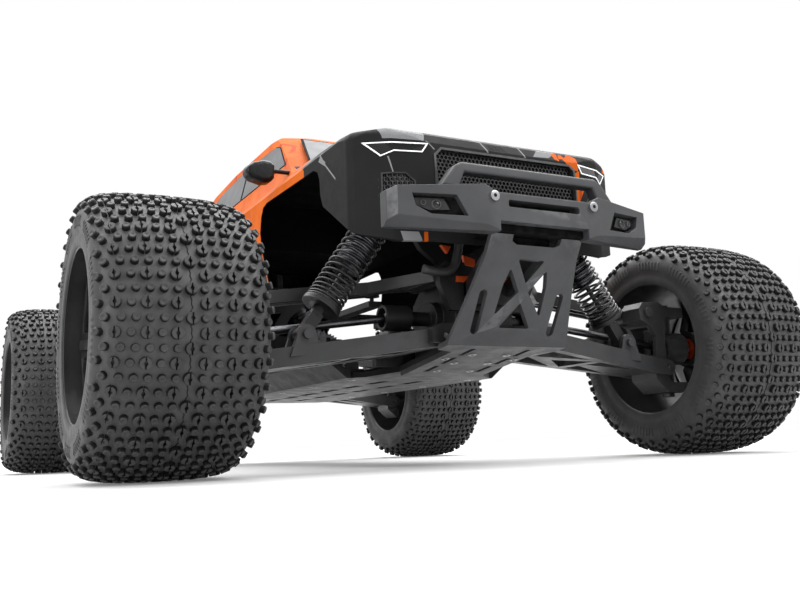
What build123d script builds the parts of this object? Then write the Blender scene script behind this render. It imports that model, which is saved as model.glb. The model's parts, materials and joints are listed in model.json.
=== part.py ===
from build123d import *
import math
import os

# Four-wheel-drive electric monster truck, about 1:8 scale, in millimetres.
# Frame: origin on the ground under the middle of the truck, +Z up, the nose points to -Y, +X is the truck's left.
# The front left corner is modelled in place; the other corners are mirrors of it.

# ---- driving dimensions ----
AXLE_Y = 231.0          # half the wheelbase
WHEEL_X = 218.0         # half the track, at the wheel's centre
TYRE_R = 85.0
TYRE_HALF_WIDTH = 47.5
RIM_HALF_WIDTH = 46.0
RIM_INNER_R = 50.5
BEAD_R = 53.7
LIP_R = 58.0

# suspension, front left corner (x, z); both arms and both rods are equal and parallel, so one ratio fits each joint
ARM_RUN = 132.0
ARM_DROP = 17.0
LOWER_PIN = (42.0, 85.0)
UPPER_PIN = (30.0, 129.0)
OUTDRIVE = (60.0, 102.0)
TIE_BALL = (60.0, 124.0)
HUB_X = WHEEL_X - 26.0  # kingpin axis, which the axle crosses
HUB_Z = TYRE_R
STEER_ARM = 26.0        # kingpin to tie rod ball, rearwards
TIE_Y = -AXLE_Y + STEER_ARM
ARM_LENGTH = math.hypot(ARM_RUN, ARM_DROP)
ARM_TILT = math.degrees(math.atan2(ARM_DROP, ARM_RUN))

# shock absorber, front left
SHOCK_Y = -247.5
SHOCK_EYE = (131.0, 86.0)
SHOCK_TOP = (57.0, 192.0)
SHOCK_LENGTH = math.dist(SHOCK_EYE, SHOCK_TOP)
SHOCK_ANGLE = math.degrees(math.atan2(SHOCK_EYE[0] - SHOCK_TOP[0], SHOCK_TOP[1] - SHOCK_EYE[1]))
CUP_AT = 22.0           # lower spring cup, along the shock from its eye
CUP_R = 13.0
COLLAR_AT = 108.0       # upper spring collar
CYLINDER_AT = 56.0      # lower end of the cylinder
CYLINDER_R = 9.5
SPRING_R = 11.6         # to the middle of the wire
SPRING_WIRE_R = 0.9
SPRING_TURNS = 9

# chassis
PLATE_Z = 66.0
PLATE_T = 4.0
PLATE_HALF = 60.0
NOSE_HALF = 34.0
KICK_Y = 176.0          # both ends of the plate rise from here
KICK_END_Y = 280.0
KICK_RISE = 14.4
SKID_T = 3.5
SKID_GAP = 0.1
DRIVE_Z = OUTDRIVE[1]   # height of the centre driveline

# steering, above the servo
CRANK_X = 24.0
CRANK_Y = -170.0
CRANK_Z = 104.0

# centre drive
GEAR_MODULE = 1.0
SPUR_TEETH = 46
PINION_TEETH = 15
GEAR_Y = 24.0
GEAR_WIDTH = 9.0
GEAR_GAP = 0.1          # added to the gears' centre distance
MOTOR_X = -(SPUR_TEETH + PINION_TEETH) * GEAR_MODULE / 2 - GEAR_GAP

# body shell
SHELL_HALF = 106.0
SHELL_FRONT = -292.0
SHELL_REAR = 286.0
SHELL_LOW = 145.0
SHELL_T = 1.8

PIN_R = 2.0
PIN_FIT = 0.12          # radial clearance of a pin in a moving part


# ---- small helpers ----
def block(x0, x1, y0, y1, z0, z1):
    return Pos((x0 + x1) / 2, (y0 + y1) / 2, (z0 + z1) / 2) * Box(abs(x1 - x0), abs(y1 - y0), abs(z1 - z0))


def rod(r, a, b):
    """Round bar of radius r from point a to point b."""
    start, end = Vector(*a), Vector(*b)
    plane = Plane(origin=start, z_dir=(end - start))
    return plane * Cylinder(r, (end - start).length, align=(Align.CENTER, Align.CENTER, Align.MIN))


def tube(r_out, r_in, a, b):
    return rod(r_out, a, b) - rod(r_in, a, b)


def prism_y(points, y0, y1):
    """Outline of (x, z) points carried from y0 to y1."""
    face = Face(Wire.make_polygon([(x, y0, z) for x, z in points]))
    return Solid.extrude(face, Vector(0, y1 - y0, 0))


def rounded_prism_y(points, y0, y1, radius):
    """The same, with its long edges rounded."""
    solid = prism_y(points, y0, y1)
    return solid.fillet(radius, solid.edges().filter_by(Axis.Y))


def prism_x(points, x0, x1):
    """Outline of (y, z) points carried from x0 to x1."""
    face = Face(Wire.make_polygon([(x0, y, z) for y, z in points]))
    return Solid.extrude(face, Vector(x1 - x0, 0, 0))


def prism_z(points, z0, z1):
    """Outline of (x, y) points carried from z0 to z1."""
    face = Face(Wire.make_polygon([(x, y, z0) for x, y in points]))
    return Solid.extrude(face, Vector(0, 0, z1 - z0))


def both_sides(shape):
    return [shape, shape.mirror(Plane.YZ)]


def both_ends(shape):
    return [shape, shape.mirror(Plane.XZ)]


def plate_top(y):
    """Height of the chassis plate's upper face at y, with its raised ends."""
    past = max(0.0, abs(y) - KICK_Y)
    return PLATE_Z + PLATE_T + past * KICK_RISE / (KICK_END_Y - KICK_Y)


# ---- wheels ----
def wheel_axis():
    return Axis((WHEEL_X, -AXLE_Y, TYRE_R), (1, 0, 0))


def ring(points):
    """Closed outline of (distance along the axle from the wheel's centre, radius), turned about the axle."""
    face = Face(Wire.make_polygon([(WHEEL_X + u, -AXLE_Y, TYRE_R + r) for u, r in points]))
    return revolve(face, wheel_axis(), 360)


def tyre():
    outside = [(30, 84.4), (41.5, 79.5), (TYRE_HALF_WIDTH, 68), (TYRE_HALF_WIDTH, 61), (45.5, 58.6), (42.3, 58.3)]
    inside = [(42.3, BEAD_R), (36, BEAD_R), (36, 58), (42.5, 66), (37.5, 75), (27, 79)]
    half = outside + inside
    crown, cavity = (0, TYRE_R), (0, 80.2)
    return ring([crown] + half + [cavity] + [(-u, r) for u, r in reversed(half)])


def rim():
    lip_in, lip_out = 42.5, RIM_HALF_WIDTH
    barrel = ring([
        (lip_out, RIM_INNER_R), (lip_out, LIP_R), (lip_in, LIP_R), (lip_in, BEAD_R - 0.1),
        (-lip_in, BEAD_R - 0.1), (-lip_in, LIP_R), (-lip_out, LIP_R), (-lip_out, RIM_INNER_R),
    ])
    hub = ring([(3, 4.1), (3, 10.2), (-4, 10.2), (-4, 14.5), (11, 14.5), (11, 4.1)])
    spoke_side = [(3, 13), (3, 24), (20, 51.2), (36, 51.2), (30, 38), (12, 22), (11, 13)]
    face = Face(Wire.make_polygon([(WHEEL_X + u, -AXLE_Y - 7, TYRE_R + r) for u, r in spoke_side]))
    spoke = Solid.extrude(face, Vector(0, 14, 0))
    spokes = [spoke.rotate(wheel_axis(), 60 * i) for i in range(6)]
    return barrel + hub + spokes


def wheel_drive():
    """Stub axle, 17 mm drive hex and wheel nut, which turn with the rim."""
    y, z = -AXLE_Y, TYRE_R
    axle = rod(4.0, (HUB_X + 6.2, y, z), (WHEEL_X + 22, y, z))
    hex_plane = Plane(origin=(HUB_X + 14, y, z), z_dir=(1, 0, 0))
    drive_hex = extrude(hex_plane * RegularPolygon(8.5, 6, major_radius=False), 14.9)
    drive_hex += rod(7.0, (HUB_X + 13.2, y, z), (HUB_X + 15, y, z))
    nut_plane = Plane(origin=(WHEEL_X + 11.1, y, z), z_dir=(1, 0, 0))
    nut = extrude(nut_plane * RegularPolygon(8.5, 6, major_radius=False), 7.5)
    nut += rod(10.0, (WHEEL_X + 11.1, y, z), (WHEEL_X + 13, y, z))
    return [axle, drive_hex - axle, nut - axle]


# ---- suspension corner ----
def arm_place(shape, pin):
    """Moves a part made flat from an inner pin at the origin to its drooped place."""
    return Pos(pin[0], -AXLE_Y, pin[1]) * Rot(0, ARM_TILT, 0) * shape


def lower_arm():
    inner, outer, thick = 38.0, 21.0, 6.0
    length = ARM_LENGTH
    plan = [(3, -inner), (20, -inner), (length - 24, -outer - 1), (length - 14, -outer),
            (length - 14, outer), (length - 24, outer + 1), (20, inner), (3, inner)]
    arm = prism_z(plan, -thick, thick)
    arm += rod(6.5, (0, -inner, 0), (0, inner, 0))
    for side in (-1, 1):
        ear = block(length - 18, length, side * 15, side * outer, -thick, thick)
        arm += ear + rod(thick, (length, side * 15, 0), (length, side * outer, 0))
    # triangular pockets open to the underside, between diagonal ribs
    for pocket in ([(14, -30), (52, -25), (16, -3)], [(14, 30), (52, 25), (16, 3)],
                   [(35, 0), (58, -21), (58, 21)],
                   [(64, -22), (100, -17), (64, -4)], [(64, 22), (100, 17), (64, 4)]):
        arm -= prism_z(pocket, -thick - 1, 2.5)
    arm -= block(6.8, 31, -9.2, 9.2, 1.7, thick + 1)      # room for the gearbox's outdrive when the arm is up
    for x in (0, length):
        arm -= rod(PIN_R + PIN_FIT, (x, -60, 0), (x, 60, 0))
    arm = arm_place(arm, LOWER_PIN)
    # clevis for the shock's eye
    eye_x, eye_z = SHOCK_EYE
    for y0, y1 in ((SHOCK_Y - 9.0, SHOCK_Y - 5.2), (SHOCK_Y + 5.2, SHOCK_Y + 8.5)):
        ear = prism_y([(eye_x - 11, 74), (eye_x + 11, 72), (eye_x + 6, eye_z), (eye_x - 6, eye_z)], y0, y1)
        arm += ear + rod(6.5, (eye_x, y0, eye_z), (eye_x, y1, eye_z))
    arm -= block(eye_x - 13, eye_x + 13, SHOCK_Y - 5.2, SHOCK_Y + 5.2, 76.5, 100)
    pin = rod(1.5, (eye_x, SHOCK_Y - 12, eye_z), (eye_x, SHOCK_Y + 8.5, eye_z))
    head = rod(3.0, (eye_x, SHOCK_Y - 12, eye_z), (eye_x, SHOCK_Y - 9.0, eye_z))
    return [arm - pin, pin + head]


def upper_arm():
    length = ARM_LENGTH
    front, back = -26.8, 18.0     # ends of the inner boss, from the axle line
    strut = (7.2, back)           # the strut's sides
    plan = [(3, front), (10, front), (42, strut[0]), (length, strut[0]), (length, back), (3, back)]
    arm = prism_z(plan, -4, 4)
    arm += rod(6.0, (0, front, 0), (0, back, 0)) + rod(6.5, (length, strut[0], 0), (length, back, 0))
    arm -= prism_z([(11, front + 8), (34, strut[0] + 1), (34, back - 5), (11, back - 5)], -5, 5)
    arm -= block(46, length - 14, strut[0] + 2, back - 2, 1.2, 5)
    arm -= block(46, length - 14, strut[0] + 2, back - 2, -5, -1.2)
    for x in (0, length):
        arm -= rod(PIN_R + PIN_FIT, (x, -60, 0), (x, 60, 0))
    return arm_place(arm, UPPER_PIN)


def outer_pin(pin):
    return pin[0] + ARM_RUN, pin[1] - ARM_DROP


JAW = 14.0              # half the width of the caster block and the hub carrier


def upright_outline(jaw_reach):
    """Side of the upright as (x, z), open towards the wheel between two jaws."""
    x, z = HUB_X, HUB_Z
    return [(x + jaw_reach, z - 36), (x + jaw_reach, z - 28), (x - 9, z - 28), (x - 13, z - 23), (x - 13, z + 20),
            (x - 9, z + 24), (x + jaw_reach, z + 24), (x + jaw_reach, z + 32), (x - 10, z + 32), (x - 18, z + 36), (x - 34, z + 35),
            (x - 38, z + 30), (x - 37, z + 21), (x - 28, z + 17), (x - 22, z + 8), (x - 23, z - 6),
            (x - 27, z - 14), (x - 25, z - 26), (x - 14, z - 36)]


def upright_holes(shape):
    low_x, low_z = outer_pin(LOWER_PIN)
    top_x, top_z = outer_pin(UPPER_PIN)
    y = -AXLE_Y
    shape -= rod(PIN_R, (low_x, y - 40, low_z), (low_x, y + 40, low_z))
    shape -= rod(PIN_R, (top_x, y - 40, top_z), (top_x, y + 40, top_z))
    # the upper arm's eye lies behind the top boss
    shape -= block(top_x - 12, top_x + 9, y + 6.8, y + 20, top_z - 8, top_z + 10)
    return shape


def upright_pins():
    """Lower pin through the arm's ears and the upper shoulder screw."""
    low_x, low_z = outer_pin(LOWER_PIN)
    top_x, top_z = outer_pin(UPPER_PIN)
    y = -AXLE_Y
    lower = rod(PIN_R, (low_x, y - 23, low_z), (low_x, y + 23, low_z))
    upper = rod(PIN_R, (top_x, y - JAW, top_z), (top_x, y + 18, top_z))
    upper += rod(3.8, (top_x, y - JAW - 3, top_z), (top_x, y - JAW, top_z))
    return [lower, upper]


def shaft_window(shape):
    return shape - block(HUB_X - 40, HUB_X - 10, -AXLE_Y - 9.5, -AXLE_Y + 9.5, HUB_Z - 9.5, HUB_Z + 16)


def caster_block():
    y = -AXLE_Y
    part = prism_y(upright_outline(8), y - JAW, y + JAW)
    part = upright_holes(shaft_window(part))
    part -= rod(3.0 + PIN_FIT, (HUB_X, y, HUB_Z - 40), (HUB_X, y, HUB_Z + 40))
    return [part] + upright_pins()


def steering_knuckle():
    x, y, z = HUB_X, -AXLE_Y, HUB_Z
    body = rod(13, (x - 7, y, z), (x + 13, y, z)) + rod(5.5, (x, y, z - 27.6), (x, y, z + 23.6))
    body += block(x - 5, x + 5, y + 4, y + STEER_ARM + 4, z + 9, z + 15)
    body -= rod(9.5, (x - 20, y, z), (x + 6.6, y, z))
    body -= rod(8.0, (x + 6, y, z), (x + 14, y, z))
    bearing = tube(8.0, 4.1, (x + 7, y, z), (x + 12.8, y, z))
    kingpins = []
    for tip, jaw, head in ((z - 20, z - 36, z - 39), (z + 16, z + 32, z + 35)):
        kingpins.append(rod(3.0, (x, y, tip), (x, y, jaw)) + rod(4.8, (x, y, jaw), (x, y, head)))
        body -= rod(3.0, (x, y, tip), (x, y, jaw))
    ball_z = TIE_BALL[1] - ARM_DROP
    stud = rod(1.5, (x, TIE_Y, z + 9), (x, TIE_Y, ball_z)) + Pos(x, TIE_Y, ball_z) * Sphere(3.5)
    return [body - stud, bearing, stud] + kingpins


def hub_carrier():
    """Rear upright: the same outline, closed round the axle bearing, without steering."""
    x, y, z = HUB_X, -AXLE_Y, HUB_Z
    part = prism_y(upright_outline(-10.0), y - JAW, y + JAW)
    part += rod(14.5, (x - 14, y, z), (x + 13, y, z))
    part -= rod(9.5, (x - 40, y, z), (x + 6, y, z))
    part = upright_holes(shaft_window(part))
    part -= rod(8.0, (x + 5, y, z), (x + 14, y, z))
    bearing = tube(8.0, 4.1, (x + 7, y, z), (x + 12.8, y, z))
    return [part, bearing] + upright_pins()


def half_shaft():
    y = -AXLE_Y
    start, end = (OUTDRIVE[0], y, OUTDRIVE[1]), (HUB_X, y, HUB_Z)
    return rod(2.75, start, end) + Pos(*start) * Sphere(5.2) + Pos(*end) * Sphere(5.5)


def tie_rod():
    inner = Vector(TIE_BALL[0], TIE_Y, TIE_BALL[1])
    outer = Vector(HUB_X, TIE_Y, TIE_BALL[1] - ARM_DROP)
    along = (outer - inner).normalized()
    bar = rod(2.4, inner + along * 4, outer - along * 4)
    bar += rod(3.4, inner + along * 48, outer - along * 48)
    for centre, way in ((inner, 1), (outer, -1)):
        bar += rod(5.5, centre - Vector(0, 0, 3.4), centre + Vector(0, 0, 3.4))
        bar += rod(3.4, centre + along * 5 * way, centre + along * 22 * way)
    for centre in (inner, outer):
        bar -= rod(3.8, centre - Vector(0, 0, 8), centre + Vector(0, 0, 8))
    return bar


# ---- shock absorber, made upright from its eye at the origin ----
def shock_place(shape):
    return Pos(SHOCK_EYE[0], SHOCK_Y, SHOCK_EYE[1]) * Rot(0, -SHOCK_ANGLE, 0) * shape


def shock_rod():
    eye = rod(5.5, (0, -4.8, 0), (0, 4.8, 0)) + block(-4, 4, -4, 4, 2, 18)
    eye += rod(4.5, (0, 0, 16), (0, 0, CUP_AT))
    eye -= rod(2.3, (0, -6, 0), (0, 6, 0))
    cup = rod(CUP_R, (0, 0, CUP_AT), (0, 0, CUP_AT + 3)) + rod(9.5, (0, 0, CUP_AT + 3), (0, 0, CUP_AT + 5))
    shaft = rod(1.75, (0, 0, CUP_AT + 5), (0, 0, CYLINDER_AT + 28))
    return shock_place(eye + cup + shaft)


def shock_body():
    top = SHOCK_LENGTH
    body = rod(CYLINDER_R, (0, 0, CYLINDER_AT), (0, 0, top - 14))
    body += rod(6.0, (0, 0, CYLINDER_AT - 0.5), (0, 0, CYLINDER_AT))
    body += rod(CUP_R, (0, 0, COLLAR_AT), (0, 0, COLLAR_AT + 4)) + rod(11.0, (0, 0, top - 15), (0, 0, top - 7))
    body += rod(5.5, (0, -4.8, top), (0, 4.8, top)) + block(-4, 4, -4, 4, top - 9, top)
    body -= rod(2.0, (0, 0, CYLINDER_AT - 4), (0, 0, CYLINDER_AT + 4))
    body -= rod(7.5, (0, 0, CYLINDER_AT + 3), (0, 0, top - 16))
    body -= rod(PIN_R + PIN_FIT, (0, -6, top), (0, 6, top))
    return shock_place(body)


def shock_spring():
    low, high = CUP_AT + 3.05 + SPRING_WIRE_R, COLLAR_AT - 0.05 - SPRING_WIRE_R
    path = Edge.make_helix(pitch=(high - low) / SPRING_TURNS, height=high - low, radius=SPRING_R)
    start = Plane(origin=path @ 0, z_dir=path % 0)
    wire = sweep(start * Circle(SPRING_WIRE_R), path=path, is_frenet=True)
    return shock_place(Pos(0, 0, low) * wire)


# ---- axle ends: gearboxes, towers, braces ----
GEARBOX_TOP = 126.0
GEARBOX_BACK = -199.0


def gearbox():
    y0, y1, half, top = -258.0, GEARBOX_BACK, 23.5, GEARBOX_TOP
    side = [(y0, plate_top(y0) + 0.1), (y1, plate_top(y1) + 0.1), (y1, top - 10), (y1 - 12, top), (y0 + 10, top),
            (y0, top - 8)]
    case = prism_x(side, -half, half)
    for s in (-1, 1):
        case += rod(12, (s * half, -AXLE_Y, DRIVE_Z), (s * (half + 6), -AXLE_Y, DRIVE_Z))
        case += rod(5, (s * half, -AXLE_Y, DRIVE_Z), (s * 50, -AXLE_Y, DRIVE_Z))
        cup = tube(9.0, 6.6, (s * 48, -AXLE_Y, DRIVE_Z), (s * 66, -AXLE_Y, DRIVE_Z))
        case += cup + rod(9.0, (s * 46, -AXLE_Y, DRIVE_Z), (s * 49, -AXLE_Y, DRIVE_Z))
    case -= rod(4.6, (0, y1 - 8, DRIVE_Z), (0, y1 + 1, DRIVE_Z))
    return case


TOWER_Y = (-233.0, -228.0)


def shock_tower():
    y0, y1 = TOWER_Y
    x, z = SHOCK_TOP
    base = GEARBOX_TOP + 0.1
    half = [(18, base), (18, 140), (34, 152), (46, 172), (x + 9, z - 4), (x + 7, z + 8), (x - 8, z + 8),
            (30, 186), (14, 184), (12, z + 8)]
    plate = prism_y(half + [(-px, pz) for px, pz in reversed(half)], y0, y1)
    plate -= prism_y([(0, 148), (24, 160), (34, 176), (0, 174)], y0 - 1, y1 + 1)
    plate -= prism_y([(0, 148), (-24, 160), (-34, 176), (0, 174)], y0 - 1, y1 + 1)
    plate += block(-19, 19, -243, -216, base, base + 5)
    for s in (-1, 1):
        plate += rod(5, (s * x, SHOCK_Y + 5.2, z), (s * x, y0, z))
        plate += rod(PIN_R, (s * x, SHOCK_Y - 6, z), (s * x, y0, z))
        plate += rod(4, (s * x, SHOCK_Y - 8, z), (s * x, SHOCK_Y - 5.2, z))
    return plate


def hinge_pin_braces():
    """Blocks that carry the arms' inner pins, at one end of the truck."""
    low_x, low_z = LOWER_PIN
    top_x, top_z = UPPER_PIN
    arm_front, arm_back = -AXLE_Y - 38.4, -AXLE_Y + 38.4
    front_low, back_low = plate_top(-276) + 0.1, plate_top(arm_back) + 0.1
    half, side, top, foot = NOSE_HALF + 1, 52, 93, 80.5
    front = prism_y([(-side, foot), (-half, foot), (-half, front_low), (half, front_low), (half, foot), (side, foot),
                     (side, top - 3), (side - 6, top), (6 - side, top), (-side, top - 3)], -276, arm_front)
    back = prism_y([(-side, back_low), (-14, back_low), (-14, 84), (14, 84), (14, back_low), (side, back_low),
                    (side, top - 3), (side - 6, top), (6 - side, top), (-side, top - 3)], arm_back, arm_back + 6)
    upper_front = prism_y([(-30, 104), (30, 104), (38, 122), (38, 133), (34, 137), (-34, 137), (-38, 133), (-38, 122)],
                          -264, -258.1)
    upper_back = prism_y([(-38, GEARBOX_TOP + 0.1), (38, GEARBOX_TOP + 0.1), (38, 133), (34, 137), (-34, 137),
                          (-38, 133)], -212.6, -208.6)
    made = []
    for part in (front, back):
        for s in (-1, 1):
            part -= rod(PIN_R, (s * low_x, -300, low_z), (s * low_x, -100, low_z))
        made.append(part)
    for part in (upper_front, upper_back):
        for s in (-1, 1):
            part -= rod(PIN_R, (s * top_x, -300, top_z), (s * top_x, -100, top_z))
        made.append(part)
    return made


def hinge_pins():
    lower = rod(PIN_R, (LOWER_PIN[0], -275.5, LOWER_PIN[1]), (LOWER_PIN[0], -187, LOWER_PIN[1]))
    upper = rod(PIN_R, (UPPER_PIN[0], -263.5, UPPER_PIN[1]), (UPPER_PIN[0], -209, UPPER_PIN[1]))
    return both_sides(lower) + both_sides(upper)


# ---- chassis ----
def bent_plate(bottom, thickness, half):
    """Plate that follows the bottom line of (y, z) points, as wide as half on each side."""
    top = [(y, z + thickness) for y, z in reversed(bottom)]
    return prism_x(bottom + top, -half, half)


def chassis_plate():
    bottom = [(-KICK_END_Y, PLATE_Z + KICK_RISE), (-KICK_Y, PLATE_Z), (KICK_Y, PLATE_Z), (KICK_END_Y, PLATE_Z + KICK_RISE)]
    plate = bent_plate(bottom, PLATE_T, PLATE_HALF)
    waist = 190.0
    plan = [(NOSE_HALF, -KICK_END_Y), (NOSE_HALF, -waist - 4), (PLATE_HALF, -waist + 20), (PLATE_HALF, waist - 20),
            (NOSE_HALF, waist + 4), (NOSE_HALF, KICK_END_Y)]
    plate &= prism_z(plan + [(-x, y) for x, y in reversed(plan)], 0, 120)
    for y in range(-120, 121, 48):
        for s in (-1, 1):
            plate -= block(s * 12, s * 20, y - 16, y + 16, 0, 90)
    for x, y in chassis_screw_places():
        plate -= rod(1.6, (x, y, 0), (x, y, 100))
    return plate


def chassis_screw_places():
    """Screws that come up through the chassis plate, as (x, y)."""
    places = [(s * 20, e * 236) for s in (-1, 1) for e in (-1, 1)]
    places += [(s * 12, e * 262) for s in (-1, 1) for e in (-1, 1)]
    places += [(s * 52, y) for s in (-1, 1) for y in (-150, -75, 0, 75, 150)]
    return places


def chassis_screws():
    made = []
    for x, y in chassis_screw_places():
        bottom = plate_top(y) - PLATE_T
        made.append(rod(1.5, (x, y, bottom + 0.3), (x, y, bottom + PLATE_T - 0.15)))
    return made


def side_guard():
    y = 168.0
    edge, on_plate = PLATE_HALF + 0.1, PLATE_Z + PLATE_T + 0.1
    guard = prism_y([(50, on_plate), (edge, on_plate), (edge, PLATE_Z), (64, PLATE_Z), (80, 79), (80, 96),
                     (76.5, 96), (76.5, 81.5), (64, 73), (50, 73)], -y, y)
    for at in range(-144, 145, 48):
        guard -= block(70, 90, at - 15, at + 15, 84, 91)
    return guard


# ---- front end ----
def front_bumper():
    """Wings with lamp pockets, centre beam with a slot, hoop over the top, and the mount back to the gearbox."""
    inner, face_y, back_y = 42.0, -333.0, -321.0
    corner, tip = (94, -318.5), (102.5, -308.5)
    low, beam_low, top, beam_top = 142.5, 148.5, 170.5, 166.0
    bumper = prism_z([(-inner, face_y), (inner, face_y), (inner, back_y), (-inner, back_y)], beam_low, beam_top)
    bumper -= block(-27.4, 27.4, face_y - 1, back_y + 1, 157.8, 162.2)            # slot
    for s in (-1, 1):
        plan = [(inner - 3, face_y), (inner, face_y), corner, tip, (tip[0], tip[1] + 5), (inner - 3, back_y)]
        wing = prism_z([(s * x, y) for x, y in plan], low, top)
        # lamp pocket, cut along the wing's slanted face
        wing -= prism_y([(s * 55, 150.5), (s * 77, 151.5), (s * 86, 156.5), (s * 88, 164), (s * 61, 163.3)], -338, -317.5)
        bumper += wing
        leg = prism_y([(s * 67.5, 170), (s * 57, 184.7), (s * 52, 187.4), (s * 49, 187.4), (s * 49, 181), (s * 51.5, 180.2),
                       (s * 54.5, 170)], -320.5, -312)
        bumper += leg
    bumper += block(-50, 50, -320.5, -312, 181, 187.4)
    mount = block(-36, 36, -327, -302, 143.6, beam_low - 0.1) + block(-16, 16, -314.5, -302, 138, 144)
    for s in (-1, 1):
        mount += prism_x([(-304, 143.7), (-304, 134), (-264.2, 112), (-264.2, 122), (-290, 138)], s * 12, s * 20)
    mount += block(-20, 20, -268, -264.1, 108, 124)
    return [bumper, mount]


def bumper_screws():
    made = []
    for s in (-1, 1):
        x, z = s * 38.3, 163.5
        made.append(rod(3.2, (x, -334.2, z), (x, -333.02, z)))
    return made


SKID_TOP = (-324.0, 143.0)
SKID_BEND_Y = -285.0
SKID_BACK_Y = -196.0


def skid_under(y):
    """Height of the skid plate's underside, which follows the nose of the chassis."""
    return plate_top(y) - PLATE_T - SKID_GAP - SKID_T


def front_skid_plate():
    """One moulded plate: an X-braced face under the bumper, bent back under the nose of the chassis."""
    ty, tz = SKID_TOP
    by, bz = SKID_BEND_Y, skid_under(SKID_BEND_Y)
    ky, kz = SKID_BACK_Y, skid_under(SKID_BACK_Y)
    t = SKID_T
    side = [(ty, tz), (by, bz), (ky, kz), (ky, kz + t), (by + 2, skid_under(by + 2) + t), (ty + t + 0.6, tz)]
    plate = prism_x(side, -47, 47)
    right = [(35, tz + 1), (35.4, 131), (39.5, 110), (43.5, 93), (47, bz + 2), (47, bz - 4)]
    front = right + [(-x, z) for x, z in reversed(right)]
    plate &= prism_y(front, -330, by) + block(-47, 47, by, ky + 1, 0, 90)
    plate &= prism_z([(-47, -330), (47, -330), (47, -273), (34, -268), (34, ky), (-34, ky), (-34, -268), (-47, -273)],
                     0, 200)
    notch = [(-19.5, tz + 9), (-18.5, 139.3), (-14.5, 137.5), (14.5, 137.5), (18.5, 139.3), (19.5, tz + 9)]
    plate -= prism_y(notch, -340, -286)
    plate -= rounded_prism_y([(-10.4, 129.5), (10.4, 129.5), (0, 115.7)], -340, -286, 0.8)
    plate -= rounded_prism_y([(-12.4, 88.7), (0, 104.1), (12.4, 88.7)], -340, -286, 0.8)
    for s in (-1, 1):
        side_window = [(s * 14.2, 124.1), (s * 17, 114.4), (s * 18, 96), (s * 3.6, 110.6)]
        plate -= rounded_prism_y(side_window, -340, -286, 0.8)
        plate -= rounded_prism_y([(s * 27, 84.4), (s * 33, 84.4), (s * 33, 110.8), (s * 27, 110.8)], -340, -286, 2.9)
    for y in (-268, -244, -220):
        for s in (-1, 1):
            plate -= block(s * 20, s * 24, y - 9, y + 9, 50, 85)
    return plate


# ---- steering ----
def steering_crank():
    """Left-hand crank, whose arm lies straight back and carries the drag link."""
    x, y, z = CRANK_X, CRANK_Y, CRANK_Z
    crank = rod(8, (x, y, z), (x, y, z + 8))
    crank += block(x - 4.5, x + 4.5, y, y + STEER_ARM, z + 3, z + 8) + rod(4.5, (x, y + STEER_ARM, z + 3), (x, y + STEER_ARM, z + 8))
    crank += rod(1.8, (x, y + STEER_ARM, z + 8), (x, y + STEER_ARM, z + 13.5))
    return crank


def servo_saver():
    saver = steering_crank()
    cap = rod(6, (CRANK_X, CRANK_Y, CRANK_Z + 8), (CRANK_X, CRANK_Y, CRANK_Z + 11))
    return saver + cap - rod(3.0, (CRANK_X, CRANK_Y, CRANK_Z - 1), (CRANK_X, CRANK_Y, CRANK_Z + 6))


def steering_idler():
    idler = steering_crank().mirror(Plane.YZ)
    return idler - rod(3.0 + PIN_FIT, (-CRANK_X, CRANK_Y, CRANK_Z - 1), (-CRANK_X, CRANK_Y, CRANK_Z + 6))


def drag_link():
    """Flat yoke: joins both cranks behind, and reaches forward to the tie rods' inner balls."""
    x, back, front = TIE_BALL[0], CRANK_Y + STEER_ARM, TIE_Y
    z0, z1 = CRANK_Z + 9, CRANK_Z + 13
    yoke = block(-x, x, back - 5, back + 5, z0, z1)
    for s in (-1, 1):
        yoke += block(s * (x - 5), s * (x + 5), front - 5, back + 5, z0, z1)
        yoke -= rod(1.8 + PIN_FIT, (s * CRANK_X, back, z0 - 1), (s * CRANK_X, back, z1 + 1))
        yoke += rod(1.5, (s * x, front, z1), (s * x, front, TIE_BALL[1]))
        yoke += Pos(s * x, front, TIE_BALL[1]) * Sphere(3.5)
    return yoke


def steering_servo():
    x, y, z = CRANK_X, CRANK_Y, PLATE_Z + PLATE_T + 0.1
    body = block(x - 10, x + 10, y - 10, y + 30, z + 1.5, 98)
    body += block(x - 10, x + 10, y - 15, y + 36, 86, 89) + rod(6.5, (x, y, 98), (x, y, 101))
    for foot_y in (y - 12.6, y + 33):
        for foot_x in (x - 6, x + 6):
            body += rod(2.2, (foot_x, foot_y, z + 1.5), (foot_x, foot_y, 87))
    spline = rod(2.95, (x, y, 101), (x, y, CRANK_Z + 5.9))
    post = rod(5, (-x, y, z), (-x, y, CRANK_Z - 0.3)) + rod(3.0, (-x, y, CRANK_Z - 1), (-x, y, CRANK_Z + 5.9))
    return [body + spline, post]


# ---- centre drive ----
def involute(base, radius):
    """Angle from the tooth's start on the base circle to where its flank crosses radius."""
    if radius <= base:
        return 0.0
    roll = math.sqrt((radius / base) ** 2 - 1)
    return roll - math.atan(roll)


def gear(teeth, tip, width, bore, backlash=0.12, turn=0.0):
    """Spur gear about Y at the origin, from y 0 to width, with one tooth centred at turn degrees from +X."""
    pitch = teeth * GEAR_MODULE / 2
    base, root = pitch * math.cos(math.radians(20)), pitch - 1.25 * GEAR_MODULE
    half_pitch = math.pi / (2 * teeth) - backlash / (2 * pitch) + involute(base, pitch)
    radii = [root, max(base, root + 0.2), pitch, tip]
    points = []
    for k in range(teeth):
        centre = 2 * math.pi * k / teeth + math.radians(turn)
        flank = [(r, half_pitch - involute(base, r)) for r in radii]
        points += [(r * math.cos(centre - a), r * math.sin(centre - a)) for r, a in flank]
        points += [(r * math.cos(centre + a), r * math.sin(centre + a)) for r, a in reversed(flank)]
    return prism_y(points, 0, width) - rod(bore, (0, -1, 0), (0, width + 1, 0))


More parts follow.
